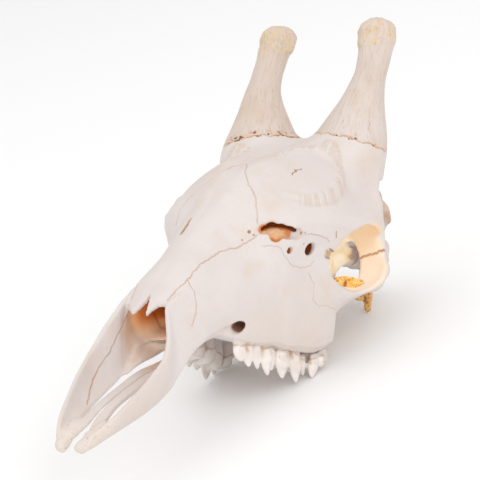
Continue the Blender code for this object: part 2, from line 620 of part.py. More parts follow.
def cutters():
    out = []
    mid = [(20, 230), (20, 190), (20, 103), (20, 84), (12, 78), (-5.9, 76), (-6, 64), (-24, 63.2),
           (-30, 51), (-38, 39), (-62, 0)]
    front = [(352, 230), (352, 190), (352, 103), (352, 84), (352, 78), (352, 76), (352, 68), (352, 60),
             (352, 51), (352, 39), (352, -60)]
    out.append(curtain("cut_midline", [(x, 0, z) for x, z in mid], [(x, 0, z) for x, z in front]))
    low = [(x, z) for x, z, _ in FRONTAL_EDGE if -163 < x < 21]
    low[0] = (20.6, low[0][1])
    out.append(curtain("cut_crown", [(x, 0, 268 + 0.1 * i) for i, (x, z) in enumerate(low)],
                       [(x, 0, z - 0.05) for x, z in low], 0.36))
    out.append(across_reach("cut_frontal", FRONTAL_EDGE))
    out.append(across_reach("cut_tear", TEAR_EDGE, 0.32))
    for s in (1, -1):
        side = "left" if s > 0 else "right"
        P = np.array(NASAL_EDGE, float)
        axis = np.stack([P[:, 0] - 6, np.zeros(len(P)), np.full(len(P), 60.0)], 1)
        d = P - axis
        d /= np.linalg.norm(d, axis=1, keepdims=True)
        reach = np.interp(P[:, 0], [20, 60, 90, 170, 200], [44, 30, 15, 15, 20])[:, None]
        flip = np.array([1, s, 1])
        out.append(curtain("cut_nasal_" + side, (P + d * 14) * flip, (P - d * reach) * flip))
        out.append(across("cut_front_" + side, FRONT_EDGE, s * 14, s * 75))
        strip = [(STRIP_CUT, 60), (STRIP_CUT, 0)]
        out.append(across("cut_strip_" + side, strip, s * 0.05, s * 19))
        out.append(across("cut_rim_" + side, [(30, 101), (5, 100), (-22, 84)], s * 73.9, s * 112))
        out.append(across("cut_bar_" + side, [(-48, 114), (-112, 101)], s * 60, s * 125))
        out.append(across("cut_arch_" + side, [(-97, 118), (-101, 74)], s * 58, s * 114))
        inner = curtain("cut_cheek_" + side, [(32, s * CHEEK_INNER, 104), (-66, s * CHEEK_INNER, 104)],
                        [(32, s * CHEEK_INNER, 34), (-66, s * CHEEK_INNER, 34)])
        out.append(inner)
        out.append(across("cut_jaw_" + side, JAW_EDGE + JAW_OUTER, s * 73.9, s * 118, 0.34))
        y = s * SQUAMOSAL_CUT
        out.append(curtain("cut_squamosal_" + side, [(-97, y, 122), (-160, y, 122)],
                           [(-97, y, 66), (-160, y, 66)]))
        y = s * 62
        root = [(-40, y, 122.1), (-60, y, 122.1), (-96, y, 127.3)]
        out.append(curtain("cut_root_" + side, root, [(x, y, 106) for x, y, z in root]))
        low = [(x, s * 118, z - (118 - 52) * OSSICONE_SLOPE) for x, z in OSSICONE_EDGE]
        high = [(x, -s, z + 53 * OSSICONE_SLOPE) for x, z in OSSICONE_EDGE]
        out.append(curtain("cut_ossicone_" + side, high, low))
    out.append(across("cut_jaw", JAW_EDGE + JAW_INNER, -CHEEK_INNER, CHEEK_INNER))
    return out


def rest_angle(v):
    """Angle that brings the teeth and the tips below the ear to one level, nose up."""
    lo, hi = 0.0, math.radians(40)
    for _ in range(40):
        a = (lo + hi) / 2
        z = v[:, 0] * math.sin(a) + v[:, 2] * math.cos(a)
        back = z[v[:, 0] < -100].min()
        front = z[v[:, 0] >= -100].min()
        if front < back:
            lo = a
        else:
            hi = a
    return (lo + hi) / 2


def material(name, rgb):
    m = bpy.data.materials.new(name)
    m.use_nodes = True
    b = m.node_tree.nodes["Principled BSDF"]
    b.inputs["Base Color"].default_value = (*rgb, 1)
    b.inputs["Roughness"].default_value = 0.55
    b.inputs["Metallic"].default_value = 0.0
    return m


def main():
    clear_scene()
    points, quads = surface(STEP)
    skull = mesh_object("skull", points, quads)
    bm = bmesh.new()
    bm.from_mesh(skull.data)
    bmesh.ops.triangulate(bm, faces=bm.faces[:])
    keep_largest(bm)
    if bm.calc_volume(signed=True) < 0:
        bmesh.ops.reverse_faces(bm, faces=bm.faces[:])
    count = len(bm.faces)
    bm.to_mesh(skull.data)
    bm.free()
    mod = skull.modifiers.new("fewer", "DECIMATE")
    mod.ratio = TRIANGLES / count
    applied(skull)

    tools = cutters()
    group = bpy.data.collections.new("cutters")
    bpy.context.scene.collection.children.link(group)
    for ob in tools:
        bpy.context.scene.collection.objects.unlink(ob)
        group.objects.link(ob)
    mod = skull.modifiers.new("parts", "BOOLEAN")
    mod.operation = "DIFFERENCE"
    mod.operand_type = "COLLECTION"
    mod.collection = group
    mod.solver = "EXACT"
    applied(skull)
    for ob in tools:
        bpy.data.objects.remove(ob, do_unlink=True)
    bpy.data.collections.remove(group)

    islands = loose_parts(skull)
    whole = np.concatenate([v for v, f in islands])
    angle = rest_angle(whole)
    c, s = math.cos(angle), math.sin(angle)
    turn = np.array([[c, 0, -s], [0, 1, 0], [s, 0, c]])
    turned = whole @ turn.T
    base = np.array([(turned[:, 0].min() + turned[:, 0].max()) / 2, 0, turned[:, 2].min()])
    bpy.data.objects.remove(skull, do_unlink=True)

    for bone, (seed, rgb) in BONES.items():
        for s in ((1, -1) if bone != "braincase" else (1,)):
            at = np.array(seed, float) * (1, s, 1)
            best = min(islands, key=lambda p: island_distance(p, at))
            name = bone if bone == "braincase" else bone + ("_left" if s > 0 else "_right")
            v = (best[0] @ turn.T - base) / 1000
            ob = mesh_object(name, v, best[1])
            ob.data.materials.append(material(name, rgb))
            ob.data.shade_smooth()


def island_distance(part, at):
    v = part[0]
    if len(v) < 60:
        return 1e9
    return float(((v - at) ** 2).sum(1).min())


def loose_parts(ob):
    """Separate bodies of one mesh, each as vertices and triangles."""
    bm = bmesh.new()
    bm.from_mesh(ob.data)
    bmesh.ops.triangulate(bm, faces=bm.faces[:])
    bm.verts.index_update()
    left = set(bm.faces)
    parts = []
    while left:
        start = left.pop()
        todo = [start]
        group = [start]
        while todo:
            f = todo.pop()
            for e in f.edges:
                for n in e.link_faces:
                    if n in left:
                        left.discard(n)
                        todo.append(n)
                        group.append(n)
        index = {}
        faces = []
        for f in sorted(group, key=lambda g: g.index):
            faces.append([index.setdefault(v, len(index)) for v in f.verts])
        verts = np.array([tuple(v.co) for v in index])
        parts.append((verts, faces))
    bm.free()
    return parts


main()
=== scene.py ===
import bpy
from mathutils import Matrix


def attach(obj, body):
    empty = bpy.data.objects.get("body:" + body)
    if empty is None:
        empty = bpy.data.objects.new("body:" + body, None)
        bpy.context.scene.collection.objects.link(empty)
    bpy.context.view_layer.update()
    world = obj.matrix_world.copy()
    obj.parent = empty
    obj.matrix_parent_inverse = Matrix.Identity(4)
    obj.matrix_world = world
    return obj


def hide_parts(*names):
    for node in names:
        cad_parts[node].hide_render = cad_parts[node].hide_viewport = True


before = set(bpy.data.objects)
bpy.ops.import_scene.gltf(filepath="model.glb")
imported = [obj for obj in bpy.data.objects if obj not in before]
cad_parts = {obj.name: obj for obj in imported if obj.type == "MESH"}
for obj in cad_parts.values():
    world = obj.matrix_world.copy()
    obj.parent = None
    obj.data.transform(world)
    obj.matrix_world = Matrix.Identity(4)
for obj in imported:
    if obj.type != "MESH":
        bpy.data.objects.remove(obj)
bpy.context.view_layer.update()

import math

import bpy
import numpy as np
import openvdb
from mathutils import Matrix, Vector, kdtree

# the skull's own frame is in mm: x to the muzzle, y to the skull's left, z up
# how that frame lies in the row frame, at rest
REST_ANGLE = math.radians(17.082511)
REST_BASE = (34.72527, 0.0, -4.87278)
TURN = np.array([[math.cos(REST_ANGLE), 0, -math.sin(REST_ANGLE)], [0, 1, 0],
                 [math.sin(REST_ANGLE), 0, math.cos(REST_ANGLE)]])
# grid step of the surface, distances kept on the grid, and how near the seams it is split, in mm
STEP = 1.5
LIMIT = 10.0
FINER = ((4.0, 2.2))
# space between the points of a seam, mm
SEAM_GAP = 1.2
# the photograph's viewpoint in the skull's own frame: place, then the directions right, down and ahead
CAMERA_PLACE = (1753.4, 1184.1, 265.5)
CAMERA_AXES = ((-0.564678, 0.823219, -0.058728), (0.086148, -0.011977, -0.996210),
               (-0.820803, -0.567597, -0.064155))
# the photograph's focal length and width in pixels, and the sensor's width
FOCAL, WIDTH, SENSOR = 2076.5, 480, 36


def hermite(xs, ys, x):
    """Smooth curve through points that never overshoots them."""
    xs = np.asarray(xs, float)
    ys = np.asarray(ys, float)
    d = np.diff(ys) / np.diff(xs)
    m = np.empty(len(xs))
    m[1:-1] = np.where(d[1:] * d[:-1] > 0, 2 * d[1:] * d[:-1] / (d[1:] + d[:-1] + 1e-12), 0)
    m[[0, -1]] = d[[0, -1]]
    i = np.clip(np.searchsorted(xs, x) - 1, 0, len(xs) - 2)
    w = xs[i + 1] - xs[i]
    t = np.clip((x - xs[i]) / w, 0, 1)
    t2 = t * t
    t3 = t2 * t
    return ((2 * t3 - 3 * t2 + 1) * ys[i] + (t3 - 2 * t2 + t) * w * m[i]
            + (-2 * t3 + 3 * t2) * ys[i + 1] + (t3 - t2) * w * m[i + 1])


def smin(a, b, k):
    """Union of two distances, rounded over k."""
    h = np.maximum(k - np.abs(a - b), 0) / k
    return np.minimum(a, b) - h * h * k * 0.25


def smax(a, b, k):
    """Overlap of two distances, rounded over k."""
    return -smin(-a, -b, k)


class Field:
    """Distances from the surface on a grid over one half of the skull."""

    def __init__(self, lo, hi, h):
        self.h = h
        self.x, self.y, self.z = (np.arange(a, b + h, h, dtype=np.float32) for a, b in zip(lo, hi))
        self.body = loft(self, OUTER)
        self.v = self.body.copy()

    def around(self, shape, k):
        """Part of the grid that a shape rounded over k can reach, and its distances there."""
        fn, lo, hi = shape
        margin = k + 8
        s = []
        for ax, a, b in zip((self.x, self.y, self.z), lo, hi):
            i = max(int(np.searchsorted(ax, a - margin)) - 1, 0)
            j = min(int(np.searchsorted(ax, b + margin)) + 1, len(ax))
            s.append(slice(i, j))
        X = self.x[s[0]][:, None, None]
        Y = self.y[s[1]][None, :, None]
        Z = self.z[s[2]][None, None, :]
        return tuple(s), fn(X, Y, Z)

    def add(self, shape, k):
        """Join a shape, rounded over k."""
        s, d = self.around(shape, k)
        self.v[s] = smin(self.v[s], d, k)

    def cut(self, shape, k):
        """Take a shape away, rounded over k."""
        s, d = self.around(shape, k)
        self.v[s] = smax(self.v[s], -d, k)


def rot_from(axis_x, up):
    """Rows of a turned frame with its first axis along axis_x."""
    a = np.array(axis_x, float)
    a /= np.linalg.norm(a)
    u = np.array(up, float)
    u -= a * a.dot(u)
    u /= np.linalg.norm(u)
    b = np.cross(u, a)
    return np.array([a, b, u])


def ellipsoid(c, r, M=np.eye(3)):
    """Ellipsoid with its middle c, half sizes r and turned frame M."""
    c = np.array(c, float)
    r = np.array(r, float)

    def fn(X, Y, Z):
        p = (X - c[0], Y - c[1], Z - c[2])
        q = [M[i, 0] * p[0] + M[i, 1] * p[1] + M[i, 2] * p[2] for i in range(3)]
        k0 = np.sqrt(sum((q[i] / r[i]) ** 2 for i in range(3)))
        k1 = np.sqrt(sum((q[i] / r[i] ** 2) ** 2 for i in range(3)))
        return k0 * (k0 - 1) / np.maximum(k1, 1e-9)
    e = np.sqrt(((M.T * r) ** 2).sum(1))
    return fn, c - e, c + e


def rod(pts, squash=((0, 0, 1), 1)):
    """Chain of tapered rods; each point is x, y, z, radius; squash = (direction, factor)."""
    P = np.array(pts, float)
    n = np.array(squash[0], float)
    n /= np.linalg.norm(n)
    s = squash[1]

    def fn(X, Y, Z):
        out = np.inf
        for a, b in zip(P[:-1], P[1:]):
            ab = b[:3] - a[:3]
            px, py, pz = X - a[0], Y - a[1], Z - a[2]
            L = ab.dot(ab)
            t = np.clip((px * ab[0] + py * ab[1] + pz * ab[2]) / L, 0, 1)
            qx, qy, qz = px - t * ab[0], py - t * ab[1], pz - t * ab[2]
            w = qx * n[0] + qy * n[1] + qz * n[2]
            full = np.sqrt(qx * qx + qy * qy + qz * qz + (s * s - 1) * w * w)
            g = np.sqrt(1 + (s * s - 1) * (s * w) ** 2 / np.maximum(full, 1e-6) ** 2)
            d = (full - (a[3] + t * (b[3] - a[3]))) / np.where(full > 1e-6, np.minimum(g, s), s)
            out = np.minimum(out, d)
        return out
    r = P[:, 3].max()
    return fn, P[:, :3].min(0) - r, P[:, :3].max(0) + r


def spline(P, n):
    """Catmull-Rom through half-section points, mirrored at the midline ends."""
    P = np.asarray(P, float)
    Q = np.vstack([P[1] * [-1, 1], P, P[-2] * [-1, 1]])
    out = []
    for i in range(1, len(Q) - 2):
        p0, p1, p2, p3 = Q[i - 1:i + 3]
        for t in np.arange(n) / n:
            out.append(0.5 * ((2 * p1) + (p2 - p0) * t + (2 * p0 - 5 * p1 + 4 * p2 - p3) * t * t
                              + (3 * p1 - p0 - 3 * p2 + p3) * t ** 3))
    out.append(P[-1])
    return np.array(out)


def section_distance(Y, Z, P):
    """Signed distance to a half section from top midline to bottom midline."""
    best = np.inf
    inside = np.zeros(np.broadcast(Y, Z).shape, bool)
    for a, b in zip(P[:-1], P[1:]):
        ey, ez = b[0] - a[0], b[1] - a[1]
        wy, wz = Y - a[0], Z - a[1]
        t = np.clip((wy * ey + wz * ez) / (ey * ey + ez * ez + 1e-12), 0, 1)
        d = (wy - t * ey) ** 2 + (wz - t * ez) ** 2
        best = np.minimum(best, d)
        cross = (a[1] > Z) != (b[1] > Z)
        yc = a[0] + (Z - a[1]) * ey / (ez if abs(ez) > 1e-9 else 1e-9)
        inside ^= cross & (Y < yc)
    d = np.sqrt(best)
    return np.where(inside, -d, d)


def loft(field, stations, n=4):
    """Body through stations: x then (y, z) pairs from top midline to bottom midline."""
    S = np.array(sorted(stations), float)
    xs = S[:, 0]
    x = field.x
    cols = np.array([hermite(xs, S[:, j], x) for j in range(1, S.shape[1])])
    Y = field.y[:, None]
    Z = field.z[None, :]
    f = np.empty((len(x), len(field.y), len(field.z)), np.float32)
    for i in range(len(x)):
        f[i] = section_distance(Y, Z, spline(cols[:, i].reshape(-1, 2), n))
    gx = np.gradient(f, field.h, axis=0)
    f /= np.sqrt(1 + np.clip(gx, -3, 3) ** 2)
    X = x[:, None, None]
    return smax(smax(f, X - xs[-1], 6), xs[0] - X, 6)


# stations of the outer form: x | roof mid | roof | shoulder | side | low side | edge | bottom mid
OUTER = [
    (236, 0, 60, 14, 60, 26, 52, 33, 30, 32, 14, 28, 4, 0, 6),
    (216, 0, 77, 14, 76, 27, 67, 35, 45, 34, 25, 30, 13, 0, 14),
    (200, 0, 90, 14, 89, 29, 79, 36, 54, 36, 35, 31, 23, 0, 21),
    (177, 0, 110, 14, 109, 31, 99, 39, 70, 39, 52, 33, 42, 0, 37),
    (142, 0, 135, 15, 131, 34, 113, 47, 80, 42, 57, 33, 48, 0, 44),
    (112, 0, 156, 15, 152, 34, 134, 53, 92, 50, 58, 42, 37, 0, 46),
    (88, 0, 172, 17, 169, 41, 148, 58, 98, 60, 58, 50, 31, 0, 46),
    (74, 0, 184, 21, 181, 61, 154, 62, 102, 63, 58, 54, 30, 0, 46),
    (60, 0, 193, 25, 190, 78, 158, 67, 108, 67, 60, 58, 24, 0, 46),
    (42, 0, 202, 28, 199, 86, 159, 71, 110, 70, 62, 61, 20, 0, 46),
    (20, 0, 209, 36, 206, 94, 157, 77, 110, 75, 62, 66, 16, 0, 46),
    (-4, 0, 213, 41, 207, 99, 151, 84, 108, 79, 64, 68, 19, 0, 50),
    (-13, 0, 214, 43, 208, 101, 149, 87, 107, 80, 66, 64, 45, 0, 58),
    (-35, 0, 218, 45, 212, 104, 144, 93, 104, 87, 71, 66, 62, 0, 74),
    (-62, 0, 224, 50, 218, 101, 156, 102, 118, 92, 86, 60, 80, 0, 88),
    (-86, 0, 228, 50, 222, 88, 200, 62, 150, 46, 114, 34, 97, 0, 94),
    (-115, 0, 226, 44, 220, 74, 202, 55, 158, 44, 118, 32, 97, 0, 94),
    (-150, 0, 206, 32, 201, 44, 182, 49, 152, 48, 120, 30, 98, 0, 95),
    (-176, 0, 178, 20, 174, 36, 162, 44, 140, 38, 114, 22, 98, 0, 98),
]
# upper and lower edges of the long bars of the muzzle: x | upper y, z | lower y, z
BAR = [
    (140, 43, 80, 36, 56),
    (165, 37, 86, 34, 48),
    (178, 32, 94, 33, 43),
    (190, 30, 90, 33, 34),
    (206, 28, 83, 33, 21),
    (216, 34, 70, 34, 14),
    (226, 41, 54, 35, 9),
    (240, 45, 37, 35, 2.5),
    (258, 43, 23, 33, -5),
    (278, 38, 8, 28, -13),
    (300, 31, -8, 20, -22.5),
    (315, 23, -18, 14, -29),
    (325, 15, -26, 11, -32.5),
]
# strips of the palate beside the midline slit: x | inner y, z | outer y, z
STRIP = [
    (140, 1, 42, 16, 43),
    (168, 1, 24, 11, 25),
    (188, 1, 21.5, 10.5, 22),
    (204, 1, 19.5, 10.5, 20),
    (239, 2, 10.5, 10.5, 9.5),
    (269, 2.5, 0.5, 10, -0.5),
    (290, 3, -10, 12, -11),
    (298, 4, -15, 17, -15),
    (308, 7, -21, 17, -21),
]
# floor of the nose beside the slit: x | outer y, z | inner y, z
SHELF = [
    (132, 36, 52, 16, 46),
    (146, 35, 50, 16, 41),
    (160, 35, 48, 18, 36),
    (175, 34, 42, 19, 32),
    (190, 33, 34, 20, 29),
    (199, 32, 26, 23, 25),
    (208, 31, 19, 27, 18),
]
# horn cores, from below: z | x, y of the axis | half length | half width
OSSICONE = [
    (180, -78, 46, 46, 46),
    (205, -82, 49, 45, 47),
    (222, -87, 53, 41, 42.5),
    (236, -93, 57, 34.5, 36),
    (249, -98.5, 59.5, 28.5, 30.5),
    (266, -106, 63, 22.5, 23.5),
    (280, -113, 65, 19, 19.5),
    (296, -124, 66, 17.3, 17.3),
    (314, -135, 65.2, 17.8, 17.8),
    (326, -142, 63.5, 20, 20),
    (336, -145, 62.5, 20, 20),
    (344, -145, 62.5, 16.5, 16.5),
    (349, -145, 62.5, 9, 9),
]
# leaves of the grinding teeth: x | half width | gum z | point, x, z | outer face inward | lingual share
TEETH = [
    (111, 9.5, 35, 109.5, 18, 0, 0.0),
    (99.5, 9, 33, 100.5, 11.5, 0, 0.6),
    (88, 6, 28, 89.5, 8, 0, 0.7),
    (75.5, 9, 27, 76, -0.5, 0, 0.9),
    (66, 5, 22, 67, 3, 3, 0.0),
    (53, 11, 20.5, 57, -6, 0, 1.0),
    (36, 9.5, 12.5, 37.5, -12.5, 0, 1.0),
    (23.5, 5, 8, 24, -7.5, 3, 0.0),
    (9, 8.5, 7, 17, -10.5, 0, 1.0),
    (-3, 8, 12, 2, -1.5, 0, 0.8),
]


def tooth_line(x):
    """Distance of the outer faces of the teeth from the midline."""
    return 42 + (117 - x) * 23 / 117

# narrow slot of the right side
SLIT = [(124, 11.2, 145.8, 1.6), (116, 12.2, 150.5, 2.8), (110.6, 13.9, 153.6, 2.8), (106, 14.2, 156.5, 1.6)]
# bowl of the eye socket: turned frame, middle, half sizes
BOWL = rot_from((0.381, 0.914, -0.137), (0, 0, 1))
BOWL_MIDDLE = np.array((-36, 92, 106)) + 2 * BOWL[0]
BOWL_SIZES = (46, 36, 34)
# swellings of the braincase wall and of the jaw that show through the orbit: middle, half sizes, frame
DOME = ((-84, 46, 105), (15, 15, 13), np.eye(3))
BULLA = ((-44, 66, 79), (17, 9, 7.5), rot_from((-0.56, 0.83, 0), (0, 0, 1)))


def stack(levels):
    """Upright body of elliptic levels: z, middle x, middle y, half length, half width."""
    S = np.array(levels, float)
    lo = np.array([(S[:, 1] - S[:, 3]).min(), (S[:, 2] - S[:, 4]).min(), S[0, 0]])
    hi = np.array([(S[:, 1] + S[:, 3]).max(), (S[:, 2] + S[:, 4]).max(), S[-1, 0] + 3])

    def fn(X, Y, Z):
        z = Z.ravel()
        cx, cy, rx, ry = [hermite(S[:, 0], S[:, j], z)[None, None, :] for j in (1, 2, 3, 4)]
        q = np.sqrt(((X - cx) / rx) ** 2 + ((Y - cy) / ry) ** 2)
        d = (q - 1) * np.minimum(rx, ry)
        g = np.gradient(d, float(z[1] - z[0]), axis=2)
        d = d / np.sqrt(1 + np.clip(g, -3, 3) ** 2)
        return smax(smax(d, Z - S[-1, 0] - 1, 3), S[0, 0] - Z, 3)
    return fn, lo, hi


def ribbon(table, half, bow, front):
    """Long plate between two edges that run along x."""
    S = np.array(table, float)

    def fn(X, Y, Z):
        x = X.ravel()
        uy, uz, ly, lz = [hermite(S[:, 0], S[:, j], x)[:, None, None] for j in (1, 2, 3, 4)]
        ey, ez = uy - ly, uz - lz
        wy, wz = Y - ly, Z - lz
        t = np.clip((wy * ey + wz * ez) / (ey * ey + ez * ez), 0, 1)
        d = np.sqrt((wy - t * ey - bow * np.sin(np.pi * t)) ** 2 + (wz - t * ez) ** 2)
        g = np.gradient(d, float(x[1] - x[0]), axis=0)
        r = half * (0.75 + 0.35 * (1 - t))
        d = (d - r) / np.sqrt(1 + np.clip(g, -1.5, 1.5) ** 2)
        return smax(smax(d, X - S[-1, 0] - front, 5), S[0, 0] - X, 3)
    lo = np.array([S[0, 0], S[:, [1, 3]].min() - half, S[:, [2, 4]].min() - half])
    hi = np.array([S[-1, 0] + front + 2, S[:, [1, 3]].max() + half, S[:, [2, 4]].max() + half])
    return fn, lo, hi


def leaf(x, y, half, gum, tip_x, tip_z, thick):
    """Leaf of a tooth: broad at the gum, pointed below, its outer face at y."""
    rows = []
    for t, w, d in ((1.0, 0.13, 0.3), (0.86, 0.4, 0.55), (0.62, 0.8, 0.8), (0.3, 1.0, 1.0), (0.0, 0.92, 1.0),
                    (-0.4, 0.8, 0.9)):
        rows.append((gum + t * (tip_z - gum), x + max(t, 0) ** 1.4 * (tip_x - x),
                     y - thick * d - 1.5 * max(t, 0) ** 2, half * w, thick * d))
    return stack(rows)


def rib(x, y, gum, tip_x, tip_z):
    """Raised rib down the outer face of a leaf."""
    pts = [(x + max(t, 0) ** 1.4 * (tip_x - x), y - 1.0 - 2.2 * max(t, 0) ** 2, gum + t * (tip_z - gum),
            1.9 * (1 - 0.5 * t)) for t in (-0.2, 0.3, 0.65, 0.92)]
    return rod(pts)


def build(h, hand):
    """One half of the skull, hand 1 for the left and -1 for the right."""
    F = Field((-216, 0, -60), (345, 130, 370), h)
    X, Y, Z = F.x[:, None, None], F.y[None, :, None], F.z[None, None, :]

    # boss over the frontal, furrow between the bosses
    F.add(ellipsoid((-6, 41, 187), (48, 44, 16), rot_from((0.85, 0.1, -0.35), (0.3, 0.25, 1))), 20)
    F.cut(rod([(40, 0, 216, 6), (-20, 0, 227, 6), (-70, 0, 236, 6)]), 14)

    def along(xs, ys):
        return hermite(xs, ys, F.x)[:, None, None]

    # passage of the nose: one wall inside the outer form, open in front
    floor = along([-20, 40, 110, 142, 160, 216], [62, 56, 55, 47, 34, 22])
    roots = along([-20, 20, 74, 112, 130, 160], [30, 38, 36, 30, 34, 60])
    roof = along([-20, 6, 20, 36], [125, 150, 200, 235])
    side = along([140, 165, 206, 240, 260], [60, 29, 25, 32, 30])
    thick = along([100, 180, 214], [6, 5, 3.5])
    deep = smax(F.body + thick, floor - Z, 6)
    deep = smax(deep, -8 - X, 10)
    deep = smax(deep, (Y - roots - np.maximum(Z - 62, 0) * 1.2) * 0.7, 6)
    deep = smax(deep, Z - roof, 10)
    F.v = smax(F.v, -deep, 3)
    # opening of the nose, with the points of the nasal bones over it
    if hand > 0:
        edge = hermite([0, 2, 5, 8.5, 12, 16, 22, 40], [195, 199, 207, 215, 208, 202, 200, 199], F.y)
    else:
        edge = hermite([0, 3, 7, 11, 15, 19, 23, 40], [195, 205, 212, 212, 208, 205, 200, 199], F.y)
    F.v = smax(F.v, X - edge[None, :, None], 1.5)
    low = smax(smax(150 - X, Y - side, 4), Z - 45, 4)
    F.v = smax(F.v, -low, 3)

    # bars of the muzzle, strips of the palate
    F.add(ribbon(BAR, 3.6, 2.5, 4), 4)
    F.add(ribbon(STRIP, 2.4, 0, 6), 4)
    F.add(ribbon(SHELF, 2.6, 0, 0), 4)
    F.add(rod([(327, 10, -29, 5.2), (312, 14, -22, 6.5), (300, 17, -16, 6)], squash=((0.4, 0, 1), 1.6)), 5)
    slit = along([190, 245, 258, 286, 296, 304, 330], [0.6, 0.6, 1.3, 1.5, 1.2, 3.5, 6.5])
    F.v = smax(F.v, -smax(smax(Y - slit, 188 - X, 1), Z - 60, 1), 0.6)

    # teeth
    for x0, half, gum, tx, tz, inward, tongue in TEETH:
        y = tooth_line(x0) - inward
        # the right row is more worn in front
        tz = tz + (6 if hand < 0 and x0 > 45 else 0)
        F.add(leaf(x0, y, half, gum, tx, tz, 3.6), 1.2)
        F.add(rib(x0, y, gum, tx, tz), 1.2)
        if tongue:
            top = gum + 8
            low = tz + 8 + 7 * (1 - tongue)
            F.add(leaf(x0 - 2, y - 13, half * 0.9 * tongue, top, tx - 2, low, 3.8), 1.5)
            F.add(rod([(0.5 * (x0 + tx), y - 4, 0.65 * gum + 0.35 * tz, half * 0.75),
                       (x0 - 1, y - 14, 0.75 * gum + 0.25 * tz, half * 0.75 * tongue),
                       (x0, y - 14, gum + 12, half * 0.8)]), 2)

    # passage behind the orbit into the temporal fossa
    F.cut(rod([(-58, 62, 100, 15), (-84, 70, 106, 22), (-108, 78, 118, 28), (-130, 94, 132, 34)]), 6)
    F.cut(rod([(-30, 66, 88, 10), (-56, 60, 84, 14), (-95, 56, 80, 15), (-130, 64, 84, 16)]), 6)
    # space under the braincase, behind the palate
    F.cut(rod([(-46, 50, 66, 15), (-70, 40, 66, 18), (-110, 30, 66, 22)]), 6)
    F.cut(rod([(-30, 0, 48, 13), (-70, 0, 60, 18), (-110, 0, 66, 20)]), 6)
    # bar behind the orbit, cheek bone and arch
    out = (0.94, 0.34, 0.05)
    F.add(rod([(-66, 80, 152, 22), (-73, 81, 132, 18), (-75, 83, 108, 15), (-71, 86, 92, 15),
               (-60, 90, 82, 13)], squash=(out, 2.4)), 6)
    F.add(rod([(-70, 95, 90, 10), (-50, 91, 78, 9), (-24, 80, 73, 9), (0, 64, 76, 9)],
              squash=((0.5, 0.8, 0), 1.2)), 7)
    F.add(rod([(-66, 91, 88, 9), (-90, 84, 90, 8), (-112, 73, 96, 9), (-135, 58, 106, 12)],
              squash=((0.3, 1, 0), 1.8)), 6)
    # orbit bowl
    F.cut(ellipsoid(BOWL_MIDDLE, BOWL_SIZES, BOWL), 4)
    F.cut(ellipsoid((-14, 82, 103), (24, 15, 19), BOWL), 4)
    F.cut(rod([(7, 82, 115, 4.5), (-14, 64, 111, 4)]), 2)
    F.add(ellipsoid(*DOME), 3)
    F.add(ellipsoid(*BULLA), 2)

    # back of the skull
    F.add(ellipsoid((-180, 17, 108), (16, 14, 19), rot_from((1, -0.35, -0.3), (0, 0, 1))), 7)
    F.add(rod([(-128, 44, 112, 13), (-136, 40, 84, 9), (-141, 36, 58, 5.5), (-142, 34, 42, 4)],
              squash=((0.5, 1, 0), 1.5)), 7)
    F.add(ellipsoid((-132, 28, 93), (13, 11, 8)), 4)
    F.add(rod([(-141, 36, 54, 4), (-134, 31, 53, 2.8), (-128, 25, 56, 2.2)]), 3)
    F.add(rod([(-160, 0, 184, 8), (-168, 24, 168, 7), (-160, 40, 162, 7), (-154, 45, 155, 6.5),
               (-153, 52, 146, 7), (-153, 54, 137, 7), (-149, 46, 122, 6)]), 3)
    F.cut(ellipsoid((-192, 0, 125), (36, 15, 13)), 4)
    F.cut(ellipsoid((-192, 0, 96), (18, 6, 12)), 4)

    # plates behind the palate
    F.add(rod([(-10, 26, 58, 10), (-45, 24, 54, 10), (-78, 22, 70, 11), (-100, 20, 92, 8)],
              squash=((0, 1, 0), 2.4)), 5)
    F.add(rod([(-40, 25, 54, 7), (-52, 23, 40, 5), (-58, 21, 31, 3.5)], squash=((0, 1, 0), 1.5)), 4)

    # openings of the face: the slot below the frontal, two small holes, the hole of the cheek nerve
    F.add(ellipsoid((60, 56, 130), (24, 12, 16), rot_from((0.7, -0.7, 0), (0, 0, 1))), 6)
    if hand > 0:
        for cx, cy, cz, r in ((80, 55, 145, 6), (74, 61, 145, 7.5), (68, 67, 142, 8), (62, 72, 140, 7.5),
                              (56, 78, 138, 6), (71, 63, 137, 6.5), (84, 52, 143, 4.5), (51, 82, 137, 4)):
            F.cut(ellipsoid((cx, cy, cz), (r, r, r * 0.9)), 1.5)
    else:
        F.cut(rod(SLIT), 0.8)
    F.cut(rod([(34, 86, 122, 6), (30, 66, 120, 6)]), 1.5)
    F.cut(rod([(61, 78, 123, 3.2), (57, 62, 121, 3.2)]), 1.5)
    F.cut(rod([(160, 38, 44.5, 3), (146, 41.5, 47, 5), (134, 44, 49.5, 6.5), (124, 46, 51.5, 6.5),
               (108, 42, 57, 5)]), 2)

    # horn cores
    F.add(stack(OSSICONE), 10)
    return F


def to_row(p):
    """Points of the skull's own frame, mm, in the row frame, m."""
    return (np.asarray(p, float) @ TURN.T - np.array(REST_BASE)) / 1000


def surface(left, right):
    """Mesh of the whole skull from the grids of its two halves."""
    v = np.clip(np.concatenate([right.v[:, :0:-1, :], left.v], axis=1), -LIMIT, LIMIT)
    grid = openvdb.FloatGrid(background=LIMIT)
    grid.copyFromArray(np.ascontiguousarray(v))
    points, quads = grid.convertToQuads(isovalue=0.0)
    corner = np.array([left.x[0], -left.y[-1], left.z[0]], float)
    points = points.astype(float) * left.h + corner
    tris = np.concatenate([quads[:, [0, 1, 2]], quads[:, [0, 2, 3]]]).astype(np.int64)
    return largest(points, tris)


